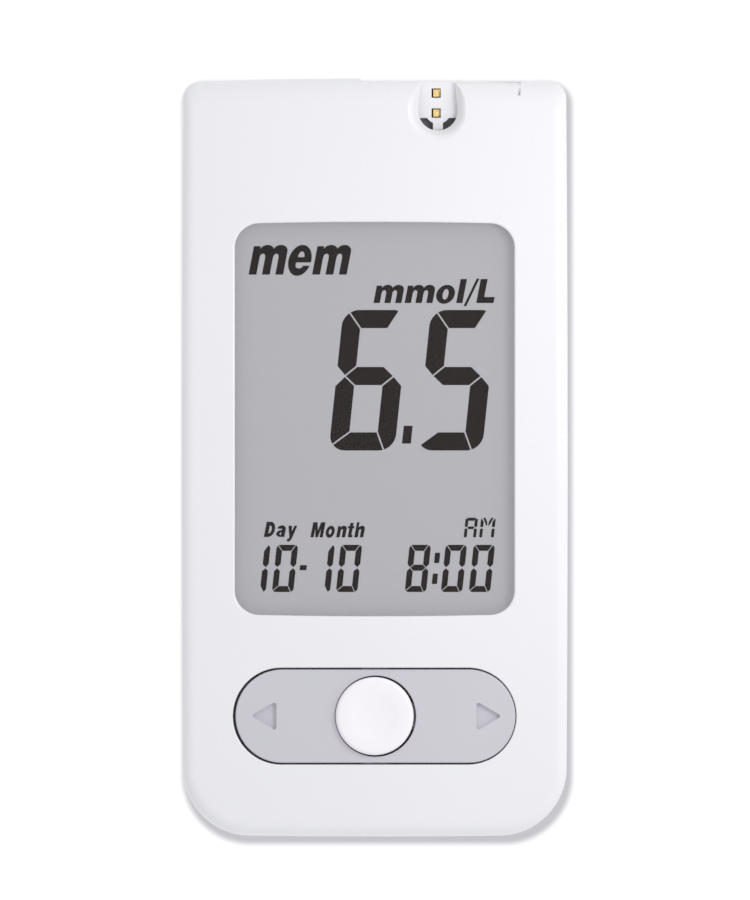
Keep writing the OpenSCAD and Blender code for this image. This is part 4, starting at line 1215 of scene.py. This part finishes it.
def letter_m(t):
    return arched(t, 2, t.x_height)


def letter_n(t):
    return arched(t, 1, t.x_height)


def letter_h(t):
    return arched(t, 1, t.ascender)


def letter_o(t, w, hollow_w, hollow_share):
    """A ring of a left and a right half."""
    middle = t.x_height / 2
    ry = middle + t.over
    outer = (w / 2, middle, w / 2, ry)
    inner = (w / 2, middle, hollow_w / 2, ry * hollow_share)
    return [[*oval(*outer, a, a + 180, 20), *oval(*inner, a + 180, a, 16)] for a in (90, 270)]


def letter_e(t, w):
    """A round lower part that carries the bar, and an arch over the eye."""
    h = t.x_height
    rx, ry = w / 2, h / 2 + t.over
    bar_low, bar_top, mouth = 0.426 * h, 0.615 * h, 0.313 * h
    eye = (0.39 * w, 0.665 * w)

    def turn(y):
        return math.degrees(math.asin((y - h / 2) / ry))

    lower = oval(rx, h / 2, rx, ry, 180 - turn(bar_top), 360 + turn(mouth), 28)
    lower += [(eye[1], mouth), *oval(0.52 * w, mouth, 0.165 * w, 0.095 * h, -30, -180, 8),
              (0.355 * w, bar_low)]
    lower += oval(rx, h / 2, rx, ry, turn(bar_low), turn(bar_top), 3)
    lower += [(eye[1], bar_top), (eye[0], bar_top)]
    upper = oval(rx, h / 2, rx, ry, turn(bar_top), 180 - turn(bar_top), 24)
    upper += oval((eye[0] + eye[1]) / 2, bar_top, (eye[1] - eye[0]) / 2, 0.2 * h, 180, 0, 12)
    return [lower, upper]


def letter_l(t):
    return [[(0, 0), (t.stem, 0), (t.stem, t.ascender), (0, t.ascender)]]


def slash(t):
    low = -0.41
    return [[(0, low), (0.34, low), (1.35, t.ascender + 0.06), (1.0, t.ascender + 0.06)]]


def capital_l(t):
    foot_w = 2.17
    foot_h = 0.75
    w = 1.1 * t.stem
    return [[(0, 0), (foot_w, 0), (foot_w, foot_h), (w, foot_h), (w, t.ascender), (0, t.ascender)]]


def capital_d(t):
    """A stem and a bowl round the hollow."""
    w, bar, s, h = 1.22, 0.46, 0.49, t.ascender
    rx, rim = 0.68, 0.42
    stem = [(0, 0), (s, 0), (s, bar), (s, h - bar), (s, h), (0, h)]
    bowl = [(s, 0), *oval(w - rx, h / 2, rx, h / 2, -90, 90, 16), (s, h), (s, h - bar)]
    bowl += [*oval(w - rx, h / 2, rx - rim, h / 2 - bar, 90, -90, 12), (s, bar)]
    return [stem, bowl]


def letter_a(t):
    """A hooked stem and a bowl on its left."""
    w, x, top = 1.1, 0.62, t.x_height + t.over
    low, high = 0.24, 0.6
    bowl_top = 0.86
    hook = oval(w / 2, top - 0.48, w / 2, 0.48, 0, 168, 14)
    stem = [(x, 0), (w, 0), *hook, (0.4, 1.0), (0.55, 1.08), (x, 1.0), (x, bowl_top), (x, high), (x, low)]
    middle = bowl_top / 2
    bowl = oval(x, middle, x, middle, 90, 270, 14)
    bowl += oval(x, (low + high) / 2, 0.2, (high - low) / 2, 270, 90, 8)
    return [stem, bowl]


def letter_y(t):
    h = t.x_height
    return [[(0, h), (0.39, 0), (0.31, -0.25), (0.17, -0.22), (0.15, -0.52), (0.38, -0.6), (0.56, -0.5),
             (0.72, -0.22), (1.12, h), (0.78, h), (0.56, 0.72), (0.44, h)]]


def letter_t(t):
    bar_low, bar_top, top = 1.12, t.x_height, t.ascender - 0.08
    foot = [(0.09, 0), (0.57, 0), (0.57, 0.28), (0.41, 0.3)]
    right = [(0.41, bar_low), (0.59, bar_low), (0.59, bar_top), (0.41, bar_top), (0.41, top)]
    left = [(0, top), (0, bar_top), (-0.2, bar_top), (-0.2, bar_low), (0, bar_low), (0, 0.11)]
    return [[*foot, *right, *left]]


def capital_m(t):
    w, s, h = 1.54, 0.4, t.ascender
    left = [(0, 0), (s, 0), (s, 1.09), (0.61, 0)]
    return [[*left, *mirrored(left, w), (w, h), (w - 0.54, h), (w / 2, 0.88), (0.54, h), (0, h)]]


def pill(x, low, high, w):
    """An upright segment with rounded corners."""
    r = 0.4 * w
    return [*arc(x + r, low + r, r, 180, 270, 4), *arc(x + w - r, low + r, r, 270, 360, 4),
            *arc(x + w - r, high - r, r, 0, 90, 4), *arc(x + r, high - r, r, 90, 180, 4)]


def segment_letter_a():
    """The segments of a small A: four uprights, a top bar and a middle bar."""
    w, bar = 1.56, 0.38
    uprights = [pill(x, *span, bar) for x in (0, w - bar) for span in ((0, 1.12), (1.3, 2.36))]
    top = [(0.44, 2.09), (1.1, 2.09), (1.3, 2.48), (0.2, 2.48)]
    middle = [(0.32, 1.21), (0.5, 1.04), (1.06, 1.04), (1.24, 1.21), (1.06, 1.38), (0.5, 1.38)]
    return [*uprights, top, middle]


def segment_letter_m():
    """The segments of a small M: four uprights and two slanted strokes."""
    w, bar = 1.85, 0.38
    lower = pill(0, 0, 1.12, bar)
    upper = [(0.06, 1.3), (0.32, 1.3), (bar, 1.38), (bar, 1.93), (0.14, 2.36), (0.03, 2.3), (0, 2.2),
             (0, 1.38)]
    stroke = [(0.72, 1.52), (0.82, 1.44), (0.86, 1.6), (0.82, 1.95), (0.56, 2.46), (0.26, 2.46)]
    left = [lower, upper, stroke]
    return left + [mirrored(outline, w) for outline in left]


def flat_face(outline):
    """A flat face on an outline, started as a filled circle."""
    deselect()
    bpy.ops.mesh.primitive_circle_add(vertices=len(outline), radius=HALF_W, fill_type="NGON")
    obj = bpy.context.object
    for vert, (x, y) in zip(obj.data.vertices, outline):
        vert.co = (x, y, 0)
    return obj


def raised(faces, name, seam=0.0):
    """Joins flat faces, draws each in by half a seam and raises them off the film as ink."""
    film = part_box("lcd_front_polarizer")[1].z
    ink = bpy.context.scene.meter_display.ink_t
    deselect()
    for obj in faces:
        obj.select_set(True)
    bpy.context.view_layer.objects.active = faces[0]
    bpy.ops.object.join()
    obj = bpy.context.object
    obj.name = name
    edit(obj)
    if seam:
        bpy.ops.mesh.inset(thickness=seam / 2, use_individual=True)
        bpy.ops.mesh.select_all(action="INVERT")
        bpy.ops.mesh.delete(type="VERT")
        bpy.ops.mesh.select_all(action="SELECT")
    else:
        bpy.ops.mesh.remove_doubles(threshold=0.002 * MM)
    bpy.ops.transform.translate(value=(0, 0, film))
    bpy.ops.mesh.extrude_region_move(TRANSFORM_OT_translate={"value": (0, 0, ink)})
    return close(obj)


class METER_OT_readings(Operator):
    """Readings: the large value, date, time and legends as raised ink on the film"""

    bl_idname = "meter.readings"
    bl_label = "Readings"

    def execute(self, context):
        sizes = context.scene.meter_display
        self.slant = sizes.slant
        pieces = [self.reading(sizes), self.date_and_time(sizes), self.points(), self.half_day()]
        self.slant = sizes.legend_slant
        pieces += self.legends()
        for piece in pieces:
            dressed(piece, "segment ink", "root", "chip_black")
        return {"FINISHED"}

    def reading(self, sizes):
        """The large digits."""
        shape = Digit(w=8.26, h=17.64, middle=9.35, upright=2.35, bar=2.27, corner_r=2.0)
        seam = 0.19
        lefts = (-5.76, 5.25)
        base = 0.86
        return raised(self.digits(sizes.reading, shape, lefts, base, seam), "reading_digits", seam * MM)

    def date_and_time(self, sizes):
        """The small digits of the lowest line."""
        shape = Digit(w=2.69, h=5.92, middle=3.05, upright=0.74, bar=0.75, corner_r=0.5)
        seam = 0.09
        date_lefts = (-16.36, -12.9, -8.29, -4.86)
        clock_lefts = (3.78, 8.31, 11.82)
        base = -16.91
        faces = self.digits(sizes.date, shape, date_lefts, base, seam)
        faces += self.digits(sizes.clock, shape, clock_lefts, base, seam)
        return raised(faces, "date_and_time_digits", seam * MM)

    def points(self):
        """The decimal point, the date's dash and the clock's two dots, each a small slanted bar."""
        decimal = (3.43, 1.73, 1.12, 2.23)
        dash = (-9.42, -14.17, 0.85, 0.63)
        upper_dot = (7.46, -13.27, 0.65, 1.29)
        lower_dot = (7.18, -15.9, 0.65, 1.29)
        faces = []
        for left, base, w, h in (decimal, dash, upper_dot, lower_dot):
            faces += self.placed([[(0, 0), (w, 0), (w, h), (0, h)]], left, base)
        return raised(faces, "points_and_dash")

    def half_day(self):
        """The two segment letters over the clock."""
        first, second = 11.18, 13.12
        base = -10.06
        faces = self.placed(segment_letter_a(), first, base) + self.placed(segment_letter_m(), second, base)
        return raised(faces, "half_day_letters")

    def legends(self):
        """The legends: each has its left end, its baseline, and its letters with their places along it."""
        large = Type(x_height=3.565, ascender=5, stem=0.98, pitch=1.68, arch=1.1, over=0.16)
        unit = Type(x_height=2.18, ascender=3.01, stem=0.79, pitch=1.358, arch=0.67, over=0.1)
        small = Type(x_height=1.41, ascender=1.9, stem=0.44, pitch=0.69, arch=0.43, over=0.05)
        words = {
            "legend_memory": (-15.83, 22.95, [
                (letter_m(large), 0), (letter_e(large, 2.88), 4.67), (letter_m(large), 7.98)]),
            "legend_unit": (-0.14, 19.38, [
                (letter_m(unit), 0), (letter_m(unit), 3.91), (letter_o(unit, 2.33, 0.72, 0.56), 7.68),
                (letter_l(unit), 10.38), (slash(unit), 11.38), (capital_l(unit), 12.9)]),
            "legend_day": (-13.91, -10.0, [
                (capital_d(small), 0), (letter_a(small), 1.474), (letter_y(small), 2.82)]),
            "legend_month": (-8.06, -10.05, [
                (capital_m(small), 0), (letter_o(small, 1.11, 0.34, 0.44), 1.8), (letter_n(small), 3.225),
                (letter_t(small), 4.68), (letter_h(small), 5.5)]),
        }
        pieces = []
        for name, (left, base, letters) in words.items():
            faces = []
            for outlines, x in letters:
                faces += self.placed(outlines, left + x, base)
            pieces.append(raised(faces, name))
        return pieces

    def placed(self, outlines, left, base):
        """Slanted faces of one letter or digit, from outlines in millimetres, at its place."""
        return [flat_face([((left + x + self.slant * y) * MM, (base + y) * MM) for x, y in outline])
                for outline in outlines]

    def digits(self, text, shape, lefts, base, seam):
        """Slanted faces of the segments that are on, for each digit at its place."""
        half = seam / 2
        shift = half * (1 + self.slant)
        grown = segment_outlines(shape.w + seam, shape.h + seam, shape.middle + half, shape.upright + seam,
                                 shape.bar + seam, shape.corner_r + half)
        faces = []
        for digit, left in zip(text, lefts):
            segments = [grown[segment] for segment in SEGMENTS_OF[digit]]
            faces += self.placed(segments, left - shift, base - half)
        return faces


class METER_OT_board(Operator):
    """Board: solder mask, pads, chips, leads, crystal, buzzer, small parts, the keys' bracket and domes"""

    bl_idname = "meter.board"
    bl_label = "Board"

    def execute(self, context):
        painted({
            "circuit_board": "solder mask", "contact_pads": "gold plate", "microcontroller": "chip epoxy",
            "measuring_chip": "chip epoxy", "memory_chip": "chip epoxy", "chip_leads": "tinned lead",
            "clock_crystal": "spring steel", "buzzer": "chip epoxy", "small_parts": "ceramic",
            "key_frame": "frame plastic", "left_dome": "spring steel", "main_dome": "spring steel",
            "right_dome": "spring steel",
        })
        return {"FINISHED"}


class METER_OT_cells(Operator):
    """Cells: two coin cells with their caps, gaskets and contacts"""

    bl_idname = "meter.cells"
    bl_label = "Cells"

    def execute(self, context):
        eased("cell_cans", "cell_can_pair", 0.12, "cell steel", "cell_steel")
        eased("cell_caps", "cell_cap_pair", 0.12, "cell cap", "cell_cap")
        eased("cell_gaskets", "cell_gasket_pair", 0, "gasket", "gasket_black")
        painted({"negative_contacts": "spring steel", "positive_contacts": "spring steel"})
        return {"FINISHED"}


class METER_OT_back_details(Operator):
    """Back details: the four screws and the blank label"""

    bl_idname = "meter.back_details"
    bl_label = "Screws and label"

    def execute(self, context):
        eased("case_screws", "case_screw_set", 0.08, "screw steel", "spring_steel")
        eased("back_label", "back_label_plate", 0.02, "label vinyl", "label_grey")
        return {"FINISHED"}


# ---- Stage ----------------------------------------------------------------------------------------


def split_place(nodes, links, coordinates):
    """Outputs with a place's parts across and along."""
    split = nodes.new("ShaderNodeSeparateXYZ")
    links.new(nodes.new("ShaderNodeTexCoord").outputs[coordinates], split.inputs["Vector"])
    return split.outputs["X"], split.outputs["Y"]


def bright_rays(nodes, links):
    """1 for rays that see the background: camera, mirror and glass rays."""
    rays = nodes.new("ShaderNodeLightPath").outputs
    seen = math_step(nodes, links, "MAXIMUM", rays["Is Camera Ray"], rays["Is Glossy Ray"])
    return math_step(nodes, links, "MAXIMUM", seen, rays["Is Transmission Ray"])


class METER_OT_stage(Operator):
    """Stage: white floor with a painted soft shadow, even sky, one soft light and the camera"""

    bl_idname = "meter.stage"
    bl_label = "Stage"

    def execute(self, context):
        stage = context.scene.meter_stage
        self.add_floor(stage)
        self.add_sky(context.scene, stage)
        self.add_light(stage)
        self.add_camera(context.scene, stage)
        context.scene.view_settings.view_transform = "Standard"
        return {"FINISHED"}

    @staticmethod
    def add_sky(scene, stage):
        world = bpy.data.worlds.new("sky")
        world.use_nodes = True
        nodes = world.node_tree.nodes
        links = world.node_tree.links
        nodes.clear()
        output = nodes.new("ShaderNodeOutputWorld")
        even = nodes.new("ShaderNodeBackground")
        even.inputs["Color"].default_value = (0.975, 0.98, 1, 1)
        x, y = split_place(nodes, links, "Generated")
        side = math_step(nodes, links, "MULTIPLY_ADD", x, stage.sky_side, stage.sky)
        square = math_step(nodes, links, "MULTIPLY", y, y)
        strength = math_step(nodes, links, "MULTIPLY_ADD", square, stage.sky_ends, side)
        links.new(strength, even.inputs["Strength"])
        white = nodes.new("ShaderNodeBackground")
        white.inputs["Color"].default_value = (1, 1, 1, 1)
        blended(nodes, links, bright_rays(nodes, links), even.outputs["Background"],
                white.outputs["Background"], output)
        scene.world = world

    @staticmethod
    def add_light(stage):
        deselect()
        bpy.ops.object.light_add(type="AREA", location=(stage.key_x, stage.key_y, stage.key_z))
        light = bpy.context.object
        light.name = "key_light"
        light.data.shape = "DISK"
        light.data.size = stage.key_size
        light.data.energy = stage.key
        light.data.color = (1, 0.985, 0.965)
        light.rotation_euler = light.location.to_track_quat("Z", "Y").to_euler()

    @staticmethod
    def add_camera(scene, stage):
        deselect()
        height = 0.5
        bpy.ops.object.camera_add(location=(stage.view_x, stage.view_y, height))
        camera = bpy.context.object
        camera.name = "camera"
        camera.data.type = "ORTHO"
        camera.data.sensor_fit = "VERTICAL"
        camera.data.ortho_scale = stage.view_h
        scene.camera = camera

    def add_floor(self, stage):
        deselect()
        width = 4
        gap = 0.02 * MM
        bpy.ops.mesh.primitive_plane_add(size=width, location=(0, 0, -gap))
        floor = bpy.context.object
        floor.name = "floor"
        floor.data.materials.append(self.floor_material(stage))

    @staticmethod
    def edge_fade(nodes, links, corner_r):
        """From 0 under the meter to 1 away from it, for a painted shadow with corners of the given radius.
        """
        shift = (0.35 * MM, -0.7 * MM, 0)
        core = (HALF_W - corner_r, END_Y - corner_r, 1)
        inside = 0.3 * MM
        outside = 0.78 * MM
        chain = nodes.new("ShaderNodeTexCoord").outputs["Object"]
        for operation, amount in (("SUBTRACT", shift), ("ABSOLUTE", None), ("SUBTRACT", core),
                                  ("MAXIMUM", (0, 0, 0)), ("LENGTH", None)):
            step = nodes.new("ShaderNodeVectorMath")
            step.operation = operation
            links.new(chain, step.inputs[0])
            if amount:
                step.inputs[1].default_value = amount
            chain = step.outputs["Value"] if operation == "LENGTH" else step.outputs["Vector"]
        fade = nodes.new("ShaderNodeMapRange")
        fade.interpolation_type = "SMOOTHSTEP"
        fade.inputs["From Min"].default_value = corner_r - inside
        fade.inputs["From Max"].default_value = corner_r + outside
        links.new(chain, fade.inputs["Value"])
        return fade.outputs["Result"]

    @staticmethod
    def floor_material(stage):
        """White paper that shows as a white background, with a painted shadow close beside the meter."""
        low_corner = 8.3 * MM
        top_corner = 2.6 * MM
        bright = 1.04
        bright_share = 0.95
        material, nodes, links, output = blank_material("floor paper")
        paper = nodes.new("ShaderNodeBsdfDiffuse")
        paper.inputs["Color"].default_value = (*stage.paper, 1)
        glow = nodes.new("ShaderNodeEmission")
        glow.inputs["Strength"].default_value = bright
        y = split_place(nodes, links, "Object")[1]
        pick = nodes.new("ShaderNodeMix")
        links.new(math_step(nodes, links, "GREATER_THAN", y, 0), pick.inputs["Factor"])
        links.new(METER_OT_stage.edge_fade(nodes, links, low_corner), pick.inputs["A"])
        links.new(METER_OT_stage.edge_fade(nodes, links, top_corner), pick.inputs["B"])
        # Painted shadow: the floor's colour turns grey beside the meter.
        blend = ramp(nodes, links, pick.outputs["Result"], tuple(stage.shadow), (1, 1, 1), 0.0, 1.0)
        links.new(blend, glow.inputs["Color"])
        share = math_step(nodes, links, "MULTIPLY", bright_rays(nodes, links), bright_share)
        blended(nodes, links, share, paper.outputs["BSDF"], glow.outputs["Emission"], output)
        return material


# ---- Add-on ---------------------------------------------------------------------------------------


class METER_PT_pieces(Panel):
    """Lists the meter's pieces and its settings in the sidebar"""

    bl_label = "Glucose meter"
    bl_space_type = "VIEW_3D"
    bl_region_type = "UI"
    bl_category = "Meter"

    def draw(self, context):
        for operator in OPERATORS:
            self.layout.operator(operator.bl_idname)
        for name in GROUPS:
            group = getattr(context.scene, name)
            box = self.layout.box()
            for key in group.bl_rna.properties.keys():
                if key not in ("rna_type", "name"):
                    box.prop(group, key)


OPERATORS = (
    METER_OT_front_cover,
    METER_OT_rear_cover,
    METER_OT_battery_door,
    METER_OT_rocker_key,
    METER_OT_main_button,
    METER_OT_strip_port,
    METER_OT_display,
    METER_OT_readings,
    METER_OT_board,
    METER_OT_cells,
    METER_OT_back_details,
    METER_OT_stage,
)
GROUPS = {
    "meter_case": CaseSizes,
    "meter_display": DisplaySizes,
    "meter_keys": KeySizes,
    "meter_port": PortSizes,
    "meter_back": BackSizes,
    "meter_finishes": Finishes,
    "meter_stage": StageSettings,
}


def register():
    for group in GROUPS.values():
        bpy.utils.register_class(group)
    for name, group in GROUPS.items():
        setattr(bpy.types.Scene, name, PointerProperty(type=group))
    for operator in OPERATORS:
        bpy.utils.register_class(operator)
    bpy.utils.register_class(METER_PT_pieces)


def unregister():
    bpy.utils.unregister_class(METER_PT_pieces)
    for operator in reversed(OPERATORS):
        bpy.utils.unregister_class(operator)
    for name in GROUPS:
        delattr(bpy.types.Scene, name)
    for group in reversed(GROUPS.values()):
        bpy.utils.unregister_class(group)


def main():
    register()
    bpy.ops.meter.front_cover()
    bpy.ops.meter.rear_cover()
    bpy.ops.meter.battery_door()
    bpy.ops.meter.rocker_key()
    bpy.ops.meter.main_button()
    bpy.ops.meter.strip_port()
    bpy.ops.meter.display()
    bpy.ops.meter.readings()
    bpy.ops.meter.board()
    bpy.ops.meter.cells()
    bpy.ops.meter.back_details()
    bpy.ops.meter.stage()


if __name__ == "__main__":
    main()
